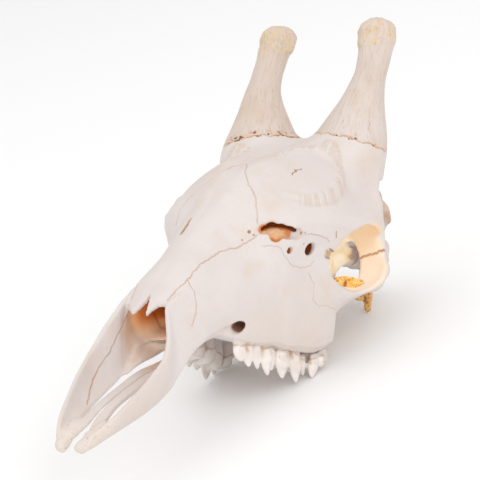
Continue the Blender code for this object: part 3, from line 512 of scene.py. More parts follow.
def largest(v, f):
    """Keep the largest connected surface."""
    label = np.arange(len(v))
    e = np.concatenate([f[:, [0, 1]], f[:, [1, 2]]])
    while True:
        low = np.minimum(label[e[:, 0]], label[e[:, 1]])
        new = label.copy()
        np.minimum.at(new, e[:, 0], low)
        np.minimum.at(new, e[:, 1], low)
        new = new[new]
        if (new == label).all():
            break
        label = new
    face_label = label[f[:, 0]]
    ids, counts = np.unique(face_label, return_counts=True)
    f = f[face_label == ids[counts.argmax()]]
    used, index = np.unique(f, return_inverse=True)
    return v[used], index.reshape(-1, 3)


def refine(v, f, near):
    """Split the triangles whose corners are near, and their neighbours so that no gap opens."""
    e = np.sort(np.concatenate([f[:, [0, 1]], f[:, [1, 2]], f[:, [2, 0]]]), axis=1)
    key = e[:, 0] * len(v) + e[:, 1]
    uniq, inv = np.unique(key, return_inverse=True)
    inv = inv.reshape(3, -1).T
    tri = near[f].any(1)
    mark = np.zeros(len(uniq), bool)
    mark[inv[tri].ravel()] = True
    a, b = uniq // len(v), uniq % len(v)
    mid = np.full(len(uniq), -1)
    mid[mark] = len(v) + np.arange(mark.sum())
    v2 = np.concatenate([v, (v[a[mark]] + v[b[mark]]) / 2])
    m = mid[inv]
    n = (m >= 0).sum(1)
    out = []
    for r in range(3):
        g = np.roll(f, -r, axis=1)
        k = np.roll(m, -r, axis=1)
        s = (n == 1) & (k[:, 0] >= 0)
        A, B, C = g[s].T
        M = k[s, 0]
        out += [(A, M, C), (M, B, C)]
        s = (n == 2) & (k[:, 2] < 0)
        A, B, C = g[s].T
        M, N = k[s, 0], k[s, 1]
        out += [(M, B, N), (A, M, N), (A, N, C)]
    s = n == 3
    A, B, C = f[s].T
    M, N, O = m[s].T
    out += [(A, M, O), (M, B, N), (O, N, C), (M, N, O)]
    return v2, np.concatenate([f[n == 0]] + [np.stack(corners, 1) for corners in out])


def normals(v, f):
    """Normals of the vertices, weighted by area."""
    n = np.zeros_like(v)
    c = np.cross(v[f[:, 1]] - v[f[:, 0]], v[f[:, 2]] - v[f[:, 0]])
    for k in range(3):
        for a in range(3):
            n[:, a] += np.bincount(f[:, k], c[:, a], len(v))
    return n / np.maximum(np.linalg.norm(n, axis=1, keepdims=True), 1e-12)


def hash3(i, j, k, seed):
    """Scattered numbers from 0 to 1, one for each corner of a grid."""
    h = (i * 374761393 + j * 668265263 + k * 2147483647 + seed * 1274126177) & 0xFFFFFFFF
    h = ((h ^ (h >> 13)) * 1274126177) & 0xFFFFFFFF
    return ((h ^ (h >> 16)) & 0xFFFF) / 65535.0


def blend(i, t, value):
    """Values at the eight corners of the cells i, blended by the shares t along them."""
    out = 0
    for dx in (0, 1):
        for dy in (0, 1):
            for dz in (0, 1):
                w = (t[:, 0] if dx else 1 - t[:, 0]) * (t[:, 1] if dy else 1 - t[:, 1])
                w = w * (t[:, 2] if dz else 1 - t[:, 2])
                out = out + w * value(i[:, 0] + dx, i[:, 1] + dy, i[:, 2] + dz)
    return out


def noise(p, scale, seed):
    """Smooth value noise, 0 to 1, with cells of the given size in mm."""
    q = p / scale
    i = np.floor(q).astype(np.int64)
    t = q - i
    return blend(i, t * t * (3 - 2 * t), lambda a, b, c: hash3(a, b, c, seed))


def layered(p, scale, seed, rounds=3):
    """Noise in rounds, each half as large and half as strong as the last."""
    out, amp, total = 0, 1.0, 0
    for k in range(rounds):
        out = out + amp * noise(p, scale / 2 ** k, seed + 7 * k)
        total += amp
        amp *= 0.5
    return out / total


def body_distance(field, p):
    """How far points are inside the outer form, from the grid of one half."""
    corner = np.array([field.x[0], field.y[0], field.z[0]])
    q = np.stack([p[:, 0], np.abs(p[:, 1]), p[:, 2]], 1)
    q = (q - corner) / field.h
    i = np.clip(np.floor(q).astype(int), 0, np.array(field.body.shape) - 2)
    return -blend(i, np.clip(q - i, 0, 1), lambda a, b, c: field.body[a, b, c])


def line_distance(p, line):
    """Distance of points from a chain of straight pieces."""
    L = np.asarray(line, float)
    best = np.inf
    for a, b in zip(L[:-1], L[1:]):
        ab = b - a
        t = np.clip(((p - a) @ ab) / (ab @ ab), 0, 1)
        d = ((p - a - t[:, None] * ab) ** 2).sum(1)
        best = np.minimum(best, d)
    return np.sqrt(best)


def spread(p, middle, sizes, turn=np.eye(3)):
    """How far points are from the middle of an ellipsoid, 1 on its surface."""
    return np.linalg.norm((p - np.array(middle)) @ turn.T / np.array(sizes), axis=1)


def rise(x, a, b):
    """Smooth step from 0 at a to 1 at b."""
    t = np.clip((x - a) / (b - a), 0, 1)
    return t * t * (3 - 2 * t)


def fade(x, a, b):
    """Smooth step from 1 at a to 0 at b."""
    return 1 - rise(x, a, b)


def boss_polar(x, ay):
    """Distance from the middle of the boss over the frontal, 1 at its rim, and direction."""
    along, across = (x - 4) / 48, (ay - 56) / 32
    return np.hypot(along, across), np.arctan2(across, along)


# seams between the bones: half width of the groove, depth, tone, waviness, side, then x, y, z along each
SEAMS = {
    "frontal_nasal": (0.4, 0.4, 0.45, 1.3, 0, [
        (22, 0, 210), (33, 8, 205), (45, 14, 201), (57, 24, 192), (64, 33, 184), (70, 42, 174), (78, 47, 162),
        (83, 50, 151)]),
    "nasal_maxilla": (0.45, 0.45, 0.55, 1.2, 0, [
        (86, 52, 140), (88, 49, 138), (103, 43, 131), (127, 34, 128), (150, 27, 117), (173, 28, 104.5),
        (187, 24, 96.5), (197, 22, 87.5)]),
    "premaxilla": (0.4, 0.4, 0.5, 0.8, 0, [
        (173, 28, 104.8), (173.7, 33.4, 97.3), (173.7, 37.5, 88.7), (176, 38, 77), (184, 38, 62)]),
    "frontal_lacrimal": (0.35, 0.4, 0.5, 1.3, 0, [
        (60, 76, 137), (53, 78, 134), (44, 82, 136), (35, 85, 136), (20, 88, 131), (12, 86, 127)]),
    "lacrimal": (0.3, 0.35, 0.4, 1.3, 0, [
        (83, 55, 129), (71, 66, 127), (63, 68, 116), (54, 68, 108), (42, 70, 103), (29, 74, 103),
        (24, 76, 109)]),
    "cheek": (0.3, 0.3, 0.35, 1.5, 0, [
        (30, 73, 97), (28, 73, 90), (24, 74, 85), (25, 74, 76), (27, 74, 70), (19, 75, 63), (8, 77, 62),
        (-7, 79, 56)]),
    "orbit_bar": (0.7, 0.8, 0.95, 1.7, 0, [
        (-70, 71, 103.5), (-72, 77, 104.4), (-73, 82, 105.8), (-73, 89, 107.4), (-75, 95, 109.2),
        (-78, 97, 110), (-84, 96, 110)]),
    "between_nasals": (0.25, 0.2, 0.12, 0.5, 0, [(30, 0, 206), (90, 0, 168), (140, 0, 133), (192, 0, 95)]),
    "inner_premaxilla": (0.5, 0.6, 0.6, 0.9, 0, [
        (196, 25.6, 78.5), (202, 28.5, 65.7), (210, 30.5, 56), (218, 34.5, 40.5), (233, 39, 25.7),
        (249, 36.5, 9), (261, 31, -3)]),
    "brow": (0.25, 0.2, 0.2, 1.2, 0, [(17, 6, 209), (4, 8, 214), (-6, 22, 214), (-4, 33, 214)]),
    "crack_one": (0.4, 1.2, 0.8, 1.0, 1, [(25, 56, 195), (20, 55, 197), (13, 56, 199), (8.5, 57.5, 199.5)]),
    "crack_two": (0.45, 1.2, 1.0, 0.8, 1, [(16, 54, 200), (18, 57, 197)]),
    "crack_three": (0.3, 0.7, 1.0, 0.3, 1, [(9, 94, 136), (6, 92, 129.5)]),
    "slit_right": (1.6, 1.0, 1.0, 0.5, -1, [(122, 12, 146), (114, 13, 150), (108, 14, 155), (105, 14, 157)]),
    "back": (0.4, 0.4, 0.4, 2.0, 0, [(-150, 0, 205), (-156, 20, 198), (-150, 40, 186), (-128, 52, 172)]),
    "temple": (0.3, 0.3, 0.35, 1.6, 0, [(-95, 46, 130), (-118, 46, 140), (-140, 50, 140)]),
}
# brown specks and pits: x, y, z, radius, depth
SPECKS = [
    (88.8, 45.4, 144, 1.5, 1.6), (97.7, 42.8, 137, 0.8, 0.8), (87, 49, 141, 1.0, 1.0),
    (49, 78.4, 138, 1.3, 1.4), (45, 80, 139, 0.8, 0.8), (44, 80, 126, 0.9, 0.8), (120, 36, 118, 0.6, 0.5)]
# dark spots on the walls behind the orbit: middle, radius
STAINS = [((-43.5, 49.5, 109), 7.0), ((-77, 59, 103), 6.0), ((-79, 60, 108), 4.0)]
# hole of the cheek nerve, from the front
NERVE = [(160, 38, 44.5), (134, 44, 49.5), (108, 42, 57)]

# edges of the bones, the same on both sides; lower edge of the nasal bone: x, y, z
NASAL_EDGE = [
    (24, -12, 214), (26, 0, 210), (42, 12, 202), (57, 25, 192), (70, 41, 174), (82, 50, 152),
    (88, 49, 140), (103, 43, 134), (127, 35, 128), (150, 29, 117), (173, 28, 105), (190, 26, 92),
    (199, 24, 87), (216, 20, 86),
]
# edge of the upper jaw: x, z on the face, then on the inner and the outer side of the cheek
JAW_EDGE = [
    (92, 160), (82, 148), (73, 130), (64, 117), (54, 108), (42, 103), (28, 100), (27, 84), (27, 70),
    (18, 63),
]
JAW_INNER = [(18, 63), (0, 62.5), (-20, 62.5), (-45, 68), (-62, 76), (-84, 84), (-112, 86)]
JAW_OUTER = [(8, 61), (-7, 56), (-22, 46), (-42, 28), (-60, 0), (-66, -30)]
# lower edge of the frontal, then the rear edge of the premaxilla: x, z
FRONTAL_EDGE = [(75.1, 134), (60, 137), (48, 135), (35, 136), (20, 131), (12, 127), (0, 124), (-20, 122),
                (-60, 122), (-95, 127), (-125, 140), (-145, 158), (-157, 178), (-162, 200), (-164, 228)]
FRONT_EDGE = [(186, 116), (177, 108), (173, 96), (175, 77), (186, 58), (207, 42), (232, 22), (254, 6),
              (267, -8), (276, -44)]
# the palate's strips belong to the premaxilla in front of this x; the cheek's inner side ends at this y
STRIP_CUT = 158
CHEEK_INNER = 74
# foot of the horn core: x, z along y = 52, and how much it rises towards the midline
OSSICONE_EDGE = [(-170, 214), (-125, 219), (-90, 221), (-50, 234), (-20, 244)]
OSSICONE_Y, OSSICONE_SLOPE = 52, 0.22
# line of the gum: x, z, and the gaps between the leaves of the teeth: x
GUM = [(-9, 17), (-2, 10), (6, 10), (19, 7.5), (28, 9.6), (40, 17), (46, 22), (64, 23), (69, 27.5),
       (83, 27.7), (91, 32.5), (121, 35.3)]
GAPS = [105, 93, 83.5, 68.5, 61, 43.5, 28.5, 19, 1]
# the braincase, then each pair; LEFT gives the number of the left one
PAIRS = ["ossicone", "nasal", "maxilla", "premaxilla", "zygomatic", "frontal", "lacrimal", "squamosal"]
NODES = ["braincase"] + [bone + side for bone in PAIRS for side in ("_left", "_right")]
LEFT = {bone: 1 + 2 * k for k, bone in enumerate(PAIRS)}


def edge_at(line, q, axis=0):
    """Height of an edge where x is q; with axis 1, x where the height is q."""
    e = np.array(sorted(line, key=lambda p: p[axis]), float)
    return np.interp(q, e[:, axis], e[:, 1 - axis])


def horn_height(x, ay, z):
    """Height above the foot of the horn core."""
    return z - edge_at(OSSICONE_EDGE, x) - (OSSICONE_Y - ay) * OSSICONE_SLOPE


def bone_of(p):
    """Number of the bone that each point lies on, 0 for the braincase."""
    x, y, z = p.T
    ay = np.abs(y)
    out = np.zeros(len(p), int)
    outer = x > edge_at(JAW_EDGE + JAW_OUTER, z, 1)
    inner = (x > 18) & (x > edge_at(JAW_EDGE, z, 1))
    inner |= (x <= 18) & (x > -114) & (z < edge_at(JAW_INNER, x))
    in_jaw = np.where(ay > CHEEK_INNER, outer, inner)
    bar = np.interp(x, [-112, -48], [101, 114])
    rim = np.interp(x, [-22, 5, 30], [84, 100, 101])
    roof = z > edge_at(FRONTAL_EDGE, x)
    roof |= (ay > 62) & (x < -36) & (x > -98) & (z > bar)
    out[(ay > 56) & (x < -97) & (x > -160) & (z > 66) & (z < 122)] = LEFT["squamosal"]
    out[(x > -6.2) & ((ay < CHEEK_INNER) | (z > rim))] = LEFT["lacrimal"]
    cheek = (~in_jaw) & (ay > CHEEK_INNER) & (x > -99) & (z < bar)
    cheek &= (z < rim) | (x < -26)
    cheek |= (ay > 60) & (x > -98) & (x < -45) & (z < bar) & (z > 86)
    out[cheek & (z > 30)] = LEFT["zygomatic"]
    out[roof] = LEFT["frontal"]
    out[in_jaw] = LEFT["maxilla"]
    front = (x > edge_at(FRONT_EDGE, z, 1)) | ((ay < 17) & (x > STRIP_CUT) & (z < 45))
    out[front & in_jaw] = LEFT["premaxilla"]
    ne = np.array(NASAL_EDGE, float)
    angle = np.arctan2(ay, z - 60)
    edge = np.interp(x, ne[:, 0], np.arctan2(ne[:, 1], ne[:, 2] - 60))
    low = np.interp(x, [24, 60, 120, 216], [150, 140, 105, 70])
    out[(x > 26) & (x < 222) & (angle < edge) & (z > low)] = LEFT["nasal"]
    out[(horn_height(x, ay, z) > 0) & (z > 205) & (x < -30)] = LEFT["ossicone"]
    out[(y < 0) & (out > 0)] += 1
    return out


def on_surface(line, tree, v, n, wave, seed):
    """Lay a line on the surface and let it wander sideways like a seam."""
    L = np.asarray(line, float)
    s = np.concatenate([[0], np.cumsum(np.linalg.norm(np.diff(L, axis=0), axis=1))])
    at = np.linspace(0, s[-1], max(int(s[-1] / SEAM_GAP), 2))
    P = np.stack([np.interp(at, s, L[:, k]) for k in range(3)], 1)
    found = np.array([tree.find(p)[1] for p in P])
    P = v[found].copy()
    for _ in range(3):
        P[1:-1] = 0.5 * P[1:-1] + 0.25 * (P[:-2] + P[2:])
    T = np.gradient(P, axis=0)
    T /= np.maximum(np.linalg.norm(T, axis=1, keepdims=True), 1e-9)
    along = np.arange(len(P))[:, None] * SEAM_GAP + np.zeros((1, 3))
    shift = (layered(along, 6.5, seed) - 0.5) * 2.4 + (noise(along, 2.2, seed + 5) - 0.5) * 0.9
    return P + np.cross(T, n[found]) * (shift * wave)[:, None]


def seam_values(v, n):
    """Strength of the seams and cracks, and how deep each point sinks."""
    tree = kdtree.KDTree(len(v))
    for i, p in enumerate(v):
        tree.insert(p, i)
    tree.balance()
    patch = 0.55 + 0.8 * layered(v, 9, 301, 2)
    seam, deep = np.zeros((2, len(v)))
    for k, (half, depth, tone, wave, only, line) in enumerate(SEAMS.values()):
        for hand in ((only,) if only else (1, -1)):
            path = [(x, y * hand, z) for x, y, z in line]
            L = on_surface(path, tree, v, n, wave, 40 + 9 * k + hand)
            box = ((v > L.min(0) - 4) & (v < L.max(0) + 4)).all(1)
            s = fade(line_distance(v[box], L), half * 0.7, half * 2.5)
            shown = tone if tone > 0.9 else tone * patch[box]
            seam[box] = np.maximum(seam[box], s * shown)
            deep[box] = np.maximum(deep[box], s * depth)
    for x, y, z, r, depth in SPECKS:
        d = np.linalg.norm(v - np.array(v[tree.find((x, y, z))[1]]), axis=1)
        s = fade(d, r * 0.6, r * 1.5)
        seam = np.maximum(seam, s)
        deep = np.maximum(deep, s * depth)
    return seam, deep


def near_seams(v, reach):
    """Vertices within reach of a seam, a speck or an edge, where the mesh is made finer."""
    x, y, z = v.T
    ay = np.abs(y)
    half = np.stack([x, ay, z], 1)
    near = np.zeros(len(v), bool)
    for _, _, _, wave, _, line in SEAMS.values():
        L = np.array(line, float)
        box = ((half > L.min(0) - 9) & (half < L.max(0) + 9)).all(1)
        near[box] |= line_distance(half[box], line) < reach + wave
    for *place, r, _ in SPECKS:
        near |= np.linalg.norm(v - np.array(place), axis=1) < reach + r
    over = horn_height(x, ay, z)
    near |= (np.abs(over) < reach + 2.5) & (z > 205) & (x < -25) & (x > -155)
    if reach > 3:
        rim, _ = boss_polar(x, ay)
        near |= (np.abs(rim - 1) < 0.2) & (z > 155)
        near |= (over > 0) & (z > 205) & (x < -30)
        # teeth, and the slot of the left side
        near |= (z < 45) & (x < 125) & (x > -20) & (ay > 35)
        near |= (x > 45) & (x < 95) & (z > 120) & (z < 160) & (y > 40)
    return near


def ring_values(v, seam, deep):
    """Foot of the horn cores, a ring of pits that is coarser on the right, and the cores."""
    x, y, z = v.T

    def side(right, left):
        return np.where(y < 0, right, left)

    over = horn_height(x, np.abs(y), z)
    h = over + (layered(v, 7, 11) - 0.5) * 5 + (noise(v, 2.4, 13) - 0.5) * 1.6
    base = (x < -28) & (x > -152) & (z > 205)
    ring = np.where(base, fade(np.abs(h), 0.3, 1.1), 0)
    band = np.where(base, fade(np.abs(h - side(2.5, 0.5)), 1.5, side(6.5, 2.5)), 0)
    pits = band * rise(layered(v, 2.8, 31, 2), side(0.56, 0.62), side(0.68, 0.74))
    horn = np.where(z > 200, rise(over, -3, 3), 0) * (x < -28)
    values = {"seam": np.maximum(seam, ring * side(0.9, 0.6)), "pits": pits, "horn": horn,
              "rust": band * side(1.0, 0.45)}
    return values, deep + ring * 0.4 + pits * side(1.1, 0.7)


def tooth_values(v):
    """Enamel, and the stains at the necks and between the leaves of the teeth."""
    x, y, z = v.T
    ay = np.abs(y)
    root = edge_at(GUM, x) + (noise(v, 3.5, 17) - 0.5) * 1.6
    row = (x > -14) & (x < 125) & (ay > tooth_line(x) - 26) & (ay < tooth_line(x) + 6)
    enamel = np.where(row, rise(root - z, 0.0, 1.2), 0)
    neck = np.where(row, fade(np.abs(root - z + 0.5), 0.4, 1.8), 0)
    for gap in GAPS:
        level = edge_at(GUM, gap)
        mark = fade(np.abs(x - gap), 0.8, 2.6) * rise(z, level - 13, level - 2)
        neck = np.maximum(neck, np.where(row, mark * fade(z, root + 1, root + 5), 0))
    return {"enamel": enamel, "neck": neck}


def hollow_values(v, n, inside):
    """Tones inside the nose, the eye socket and the back, and their stains; painted shade and glow deep in
    the nose, painted light on the wall seen through the orbit and painted shade in the holes.
    """
    x, y, z = v.T
    ay = np.abs(y)
    half = np.stack([x, ay, z], 1)
    bowl = spread(half, BOWL_MIDDLE, BOWL_SIZES, BOWL)
    socket = np.maximum(rise(inside, 0.6, 2.5) * fade(bowl, 1.02, 1.10),
                        fade(bowl, 1.0, 1.22) * rise(-x, 30, 60) * rise(n @ BOWL[0], -0.2, 0.35))
    cream = socket * rise(z + 0.35 * (ay - 80), 92, 128) * (x < -20)
    nose = rise(inside, 1.8, 3.4) * (x > -12) * (1 - socket) * (ay < 70)
    shelf = (x > 120) & (ay < 32) & (z < 60) & (n[:, 2] > 0.2)
    nose = np.maximum(nose, shelf * rise(x, 118, 128)) * fade(x, 190, 214)
    nose = nose * rise(line_distance(half, NERVE), 6, 10)
    back = rise(inside, 1.5, 4) * (x < -12) * (1 - socket)
    # painted shade and glow: deeper in the nose the colour turns darker orange
    nose_shade_and_glow = fade(x + 0.35 * (z - 60), 160, 222) * rise(z, 42, 78)
    slot = rise(x, 52, 62) * fade(x, 92, 120)
    nose_shade_and_glow = nose_shade_and_glow * (1 - 0.5 * slot * rise(layered(v, 7, 53, 2), 0.35, 0.6))
    # painted light: the wall that shows through the orbit is coloured brighter than the bone, where shade
    # falls
    medial_painted_light = rise(inside, 1.0, 3) * (x > -112) * (x < -8) * (ay < 68) * (z > 72) * (z < 128)
    under = rise(72 - z, 0, 14) * (x < -30) * (ay < 50)
    bulla = np.maximum(fade(spread(half, *BULLA), 1.1, 1.35), 0.85 * under)
    # painted shade in the holes of the nerve and of the tear duct, then the stains and the edge of the dome
    hole_shade_and_stain = fade(spread(half, (112, 44, 55), (13, 9, 8)), 0.8, 1.1)
    hole_shade_and_stain = hole_shade_and_stain * rise(inside, 1.0, 3.0) * fade(x, 118, 126)
    hole_shade_and_stain = np.maximum(hole_shade_and_stain, fade(spread(half, (4, 79, 114.5), (8, 8, 7)), 0.7, 1.1) * 0.8)
    for spot, radius in STAINS:
        stain = np.linalg.norm(half - np.array(spot), axis=1) / radius + (noise(v, 2.5, 57) - 0.5) * 0.7
        hole_shade_and_stain = np.maximum(hole_shade_and_stain, fade(stain, 0.6, 1.1) * 0.6)
    edge = rise(layered(v, 6, 55, 2) + 0.035 * (ay - 0.6 * (x + 84) - 52), 0.5, 0.75)
    hole_shade_and_stain = np.maximum(hole_shade_and_stain, fade(spread(half, *DOME), 1.05, 1.3) * edge * 0.7)
    return {"socket": socket, "cream": cream, "nose": nose, "nose_shade_and_glow": nose_shade_and_glow, "back": back,
            "medial_painted_light": medial_painted_light, "bulla": bulla, "hole_shade_and_stain": hole_shade_and_stain}


def shade_values(v, n, inside):
    """Named values at each vertex, which the materials read, and how deep each point sinks."""
    x, y, z = v.T
    ay = np.abs(y)
    values, deep = ring_values(v, *seam_values(v, n))
    values.update(tooth_values(v), **hollow_values(v, n, inside))
    horn, bulla = values["horn"], values["bulla"]
    # rough bone of the swelling, of the nuchal crest and of the muzzle's tip
    crest = fade(spread(np.stack([x, ay, z], 1), (-156, 53, 147), (11, 14, 22)), 0.8, 1.15)
    tip = rise(x, 290, 308)
    holes = rise(layered(v, 3.0, 61, 2), 0.60, 0.72)
    deep = deep + holes * bulla * 1.4 + holes * crest * 0.8 + holes * tip * 0.35
    deep = deep + (layered(v, 7, 63, 3) - 0.5) * crest * 4.0
    values["pits"] = np.maximum(values["pits"], holes * bulla * 0.8)
    # grooves along the horn cores, whose axis is given by height
    height = [236, 296, 336]
    turn = np.arctan2(ay - np.interp(z, height, [57, 66, 62.5]), x - np.interp(z, height, [-93, -124, -145]))
    lane = np.stack([np.cos(turn) * 20, np.sin(turn) * 20, (z - x) * 0.07 + (y < 0) * 40.0], 1)
    groove = (layered(lane, 4.5, 71, 3) - 0.5) * horn
    fine = rise(layered(lane * (1, 1, 1.6), 1.9, 75, 2), 0.58, 0.74) * horn
    deep = deep + groove * 1.3 + fine * 0.5
    knob = rise(z, 314, 326) * horn
    deep = deep + (layered(v, 5.0, 81, 3) - 0.5) * knob * 2.6
    deep = deep + rise(layered(v, 2.6, 83, 2), 0.62, 0.75) * knob * 0.8
    # fine relief of the bone, rougher round the edge of the boss
    deep = deep + (layered(v, 26, 91, 2) - 0.5) * 0.8
    rim, spoke = boss_polar(x, ay)
    fringe = fade(np.abs(rim - 1.0), 0.02, 0.17) * (z > 155) * (1 - horn)
    fringe = fringe * fade(x - 0.7 * (ay - 30), 10, 30)
    ray = noise(np.stack([spoke * 15, rim * 2, y * 0], 1), 1.0, 95)
    deep = deep + fringe * (ray - 0.5) * 1.5
    deep = deep - fade(np.abs(rim - 0.92), 0.0, 0.16) * fringe * 1.4
    # painted shade: a darker line just outside the rim of the raised boss
    line = fade(np.abs(rim - 1.1), 0.01, 0.06) * rise(fringe, 0.05, 0.3)
    fringe = fringe * rise(ray, 0.45, 0.65) + 0.8 * line * (0.3 + layered(v, 12, 97, 2))
    values.update(crest=crest, tip=tip, knob=knob, fringe=fringe, lane=lane)
    return values, deep


def srgb(r, g, b):
    """Colour of a screen, 0 to 255, as the linear colour of a node."""
    return tuple((c / 255 / 12.92) if c / 255 <= 0.04045 else ((c / 255 + 0.055) / 1.055) ** 2.4
                 for c in (r, g, b)) + (1.0,)


class Nodes:
    """Material under construction; colours are (r, g, b) of a screen, or sockets."""

    def __init__(self, name):
        self.mat = bpy.data.materials.new(name)
        self.mat.use_nodes = True
        self.tree = self.mat.node_tree
        self.bsdf = self.tree.nodes["Principled BSDF"]
        self.coords = self.new("ShaderNodeTexCoord").outputs["Object"]

    def new(self, kind, **inputs):
        """Node with values or links for its inputs."""
        node = self.tree.nodes.new(kind)
        for k, val in inputs.items():
            self.put(node.inputs[k.replace("_", " ")], val)
        return node

    def put(self, socket, val):
        """Link a socket, or set its value."""
        if isinstance(val, bpy.types.NodeSocket):
            self.tree.links.new(val, socket)
        else:
            socket.default_value = srgb(*val) if isinstance(val, tuple) else val

    def attr(self, name, output="Fac"):
        """Named value of the vertices."""
        node = self.new("ShaderNodeAttribute")
        node.attribute_name = name
        return node.outputs[output]

    def noise(self, scale, detail, rough, vector=None):
        """Noise over the object, or over a vector."""
        return self.new("ShaderNodeTexNoise", Scale=scale, Detail=detail, Roughness=rough,
                        Vector=vector or self.coords).outputs["Fac"]

    def ramp(self, value, low, high, a=0.0, b=1.0):
        """Smooth step from a at low to b at high."""
        node = self.new("ShaderNodeMapRange", Value=value, From_Min=low, From_Max=high, To_Min=a, To_Max=b)
        node.interpolation_type = "SMOOTHSTEP"
        return node.outputs["Result"]

    def math(self, op, a, b):
        """Sum, difference or product."""
        node = self.new("ShaderNodeMath")
        node.operation = op
        self.put(node.inputs[0], a)
        self.put(node.inputs[1], b)
        return node.outputs["Value"]

    def mix(self, factor, a, b):
        """Colour a, turned into b by the factor."""
        node = self.new("ShaderNodeMix")
        node.data_type = "RGBA"
        for number, val in ((0, factor), (6, a), (7, b)):
            self.put(node.inputs[number], val)
        return node.outputs[2]


def bone_material(name, light, shade, stain):
    """Bone of three tones, with the marks that the named values place."""
    m = Nodes(name)
    broad = m.noise(9.0, 3, 0.5)
    cloud = m.noise(28.0, 4, 0.55)
    fine = m.noise(70.0, 5, 0.6)
    grain = m.noise(420.0, 3, 0.6)
    col = m.mix(m.ramp(broad, 0.35, 0.65), light, shade)
    col = m.mix(m.ramp(cloud, 0.5, 0.72, 0.0, 0.35), col, stain)
    col = m.mix(m.ramp(grain, 0.58, 0.75, 0.0, 0.12), col, (150, 128, 112))
    lane = m.attr("lane", "Vector")
    # painted shade and glow: the nose turns darker orange deeper inside
    nose = m.mix(m.ramp(m.attr("nose_shade_and_glow"), 0.0, 0.55), (236, 224, 212), (238, 196, 150))
    nose = m.mix(m.ramp(m.attr("nose_shade_and_glow"), 0.4, 0.85), nose, (218, 124, 34))
    nose = m.mix(m.ramp(cloud, 0.45, 0.7, 0.0, 0.3), nose, (214, 150, 100))
    # layers from below: named value, strength, colour
    for value, strength, colour in [
        # grooves, streaks and stains of the horn cores, striations round the boss and the painted shade line
        # at its rim
        ("horn", m.ramp(m.noise(0.42, 5, 0.65, lane), 0.50, 0.66, 0.0, 0.55), (200, 179, 160)),
        ("horn", m.ramp(m.noise(0.95, 4, 0.6, lane), 0.58, 0.70, 0.0, 0.55), (178, 144, 114)),
        ("rust", m.ramp(fine, 0.35, 0.65, 0.15, 0.6), (216, 174, 134)),
        ("knob", m.ramp(m.noise(120.0, 4, 0.6), 0.42, 0.62, 0.08, 0.6), (222, 190, 136)),
        ("fringe", m.ramp(grain, 0.35, 0.6, 0.2, 0.5), (204, 182, 160)),
        # nose with painted shade and glow deep inside, eye socket, back, and what shows through the orbit,
        # its wall brightened with painted light
        ("nose", 0.95, nose),
        ("socket", 0.85, m.mix(m.ramp(broad, 0.4, 0.6), (240, 222, 204), (238, 216, 190))),
        ("cream", m.ramp(cloud, 0.35, 0.6, 0.25, 0.7), (240, 202, 146)),
        ("back", 0.45, (222, 204, 174)),
        ("medial_painted_light", 0.9, m.mix(m.ramp(fine, 0.4, 0.62), (255, 246, 226), (246, 222, 178))),
        ("bulla", 1.0, m.mix(m.ramp(fine, 0.38, 0.62), (255, 220, 136), (236, 170, 74))),
        ("crest", 0.85, m.mix(m.ramp(fine, 0.4, 0.65), (206, 184, 166), (184, 142, 112))),
        ("bulla", m.ramp(m.noise(430.0, 3, 0.6), 0.53, 0.63, 0.0, 0.8), (150, 92, 44)),
        # tip of the muzzle, teeth
        ("tip", 0.25, (236, 222, 198)),
        ("tip", m.ramp(m.noise(330.0, 2, 0.5), 0.62, 0.70, 0.0, 0.5), (168, 132, 118)),
        ("enamel", 1.0, m.mix(m.ramp(fine, 0.35, 0.7), (238, 230, 224), (222, 211, 202))),
        ("neck", m.ramp(m.noise(120.0, 3, 0.6), 0.38, 0.64, 0.0, 0.7), (184, 138, 86)),
        # seams, holes with painted shade and stains, and pits
        ("seam", m.ramp(fine, 0.3, 0.6, 0.7, 1.0), (178, 130, 80)),
        ("hole_shade_and_stain", 0.9, (124, 72, 38)),
        ("pits", 1.0, (120, 72, 44)),
    ]:
        col = m.mix(m.math("MULTIPLY", m.attr(value), strength), col, colour)
    m.put(m.bsdf.inputs["Base Color"], col)
    rough = m.ramp(fine, 0.3, 0.7, 0.48, 0.66)
    m.put(m.bsdf.inputs["Roughness"], m.math("SUBTRACT", rough, m.math("MULTIPLY", m.attr("enamel"), 0.28)))
    height = m.math("ADD", m.math("MULTIPLY", fine, 0.5), m.math("MULTIPLY", grain, 0.25))
    bump = m.new("ShaderNodeBump", Strength=0.25, Distance=0.0012, Height=height)
    m.put(m.bsdf.inputs["Normal"], bump.outputs["Normal"])
    return m.mat


# main tone, second tone and stain, of the bones and of the horn cores
BONE_TONES = (219, 210, 207), (214, 202, 195), (212, 190, 168)
HORN_TONES = (215, 202, 195), (209, 193, 181), (200, 172, 136)


def show(ob):
    """Put an object into the scene."""
    bpy.context.scene.collection.objects.link(ob)
    return ob


def add_bone(node, faces, place, normal, values):
    """One bone in the place of its CAD node, from its triangles of the whole mesh."""
    used, index = np.unique(faces, return_inverse=True)
    name = "bone_" + node
    me = bpy.data.meshes.new(name)
    me.vertices.add(len(used))
    me.vertices.foreach_set("co", place[used].astype(np.float32).ravel())
    me.loops.add(len(faces) * 3)
    me.loops.foreach_set("vertex_index", index.astype(np.int32).ravel())
    me.polygons.add(len(faces))
    me.polygons.foreach_set("loop_start", np.arange(0, len(faces) * 3, 3, dtype=np.int32))
    me.polygons.foreach_set("loop_total", np.full(len(faces), 3, np.int32))
    me.update(calc_edges=True)
    me.validate()
    me.shade_smooth()
    me.normals_split_custom_set_from_vertices(normal[used].astype(np.float32))
    for key, value in values.items():
        kind, field = ("FLOAT_VECTOR", "vector") if value.ndim == 2 else ("FLOAT", "value")
        data = me.attributes.new(key, kind, "POINT").data
        data.foreach_set(field, value[used].astype(np.float32).ravel())
    tones = HORN_TONES if node.startswith("ossicone") else BONE_TONES
    me.materials.append(bone_material(name, *tones))
    ob = show(bpy.data.objects.new(name, me))
    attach(ob, "root")
    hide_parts(node)


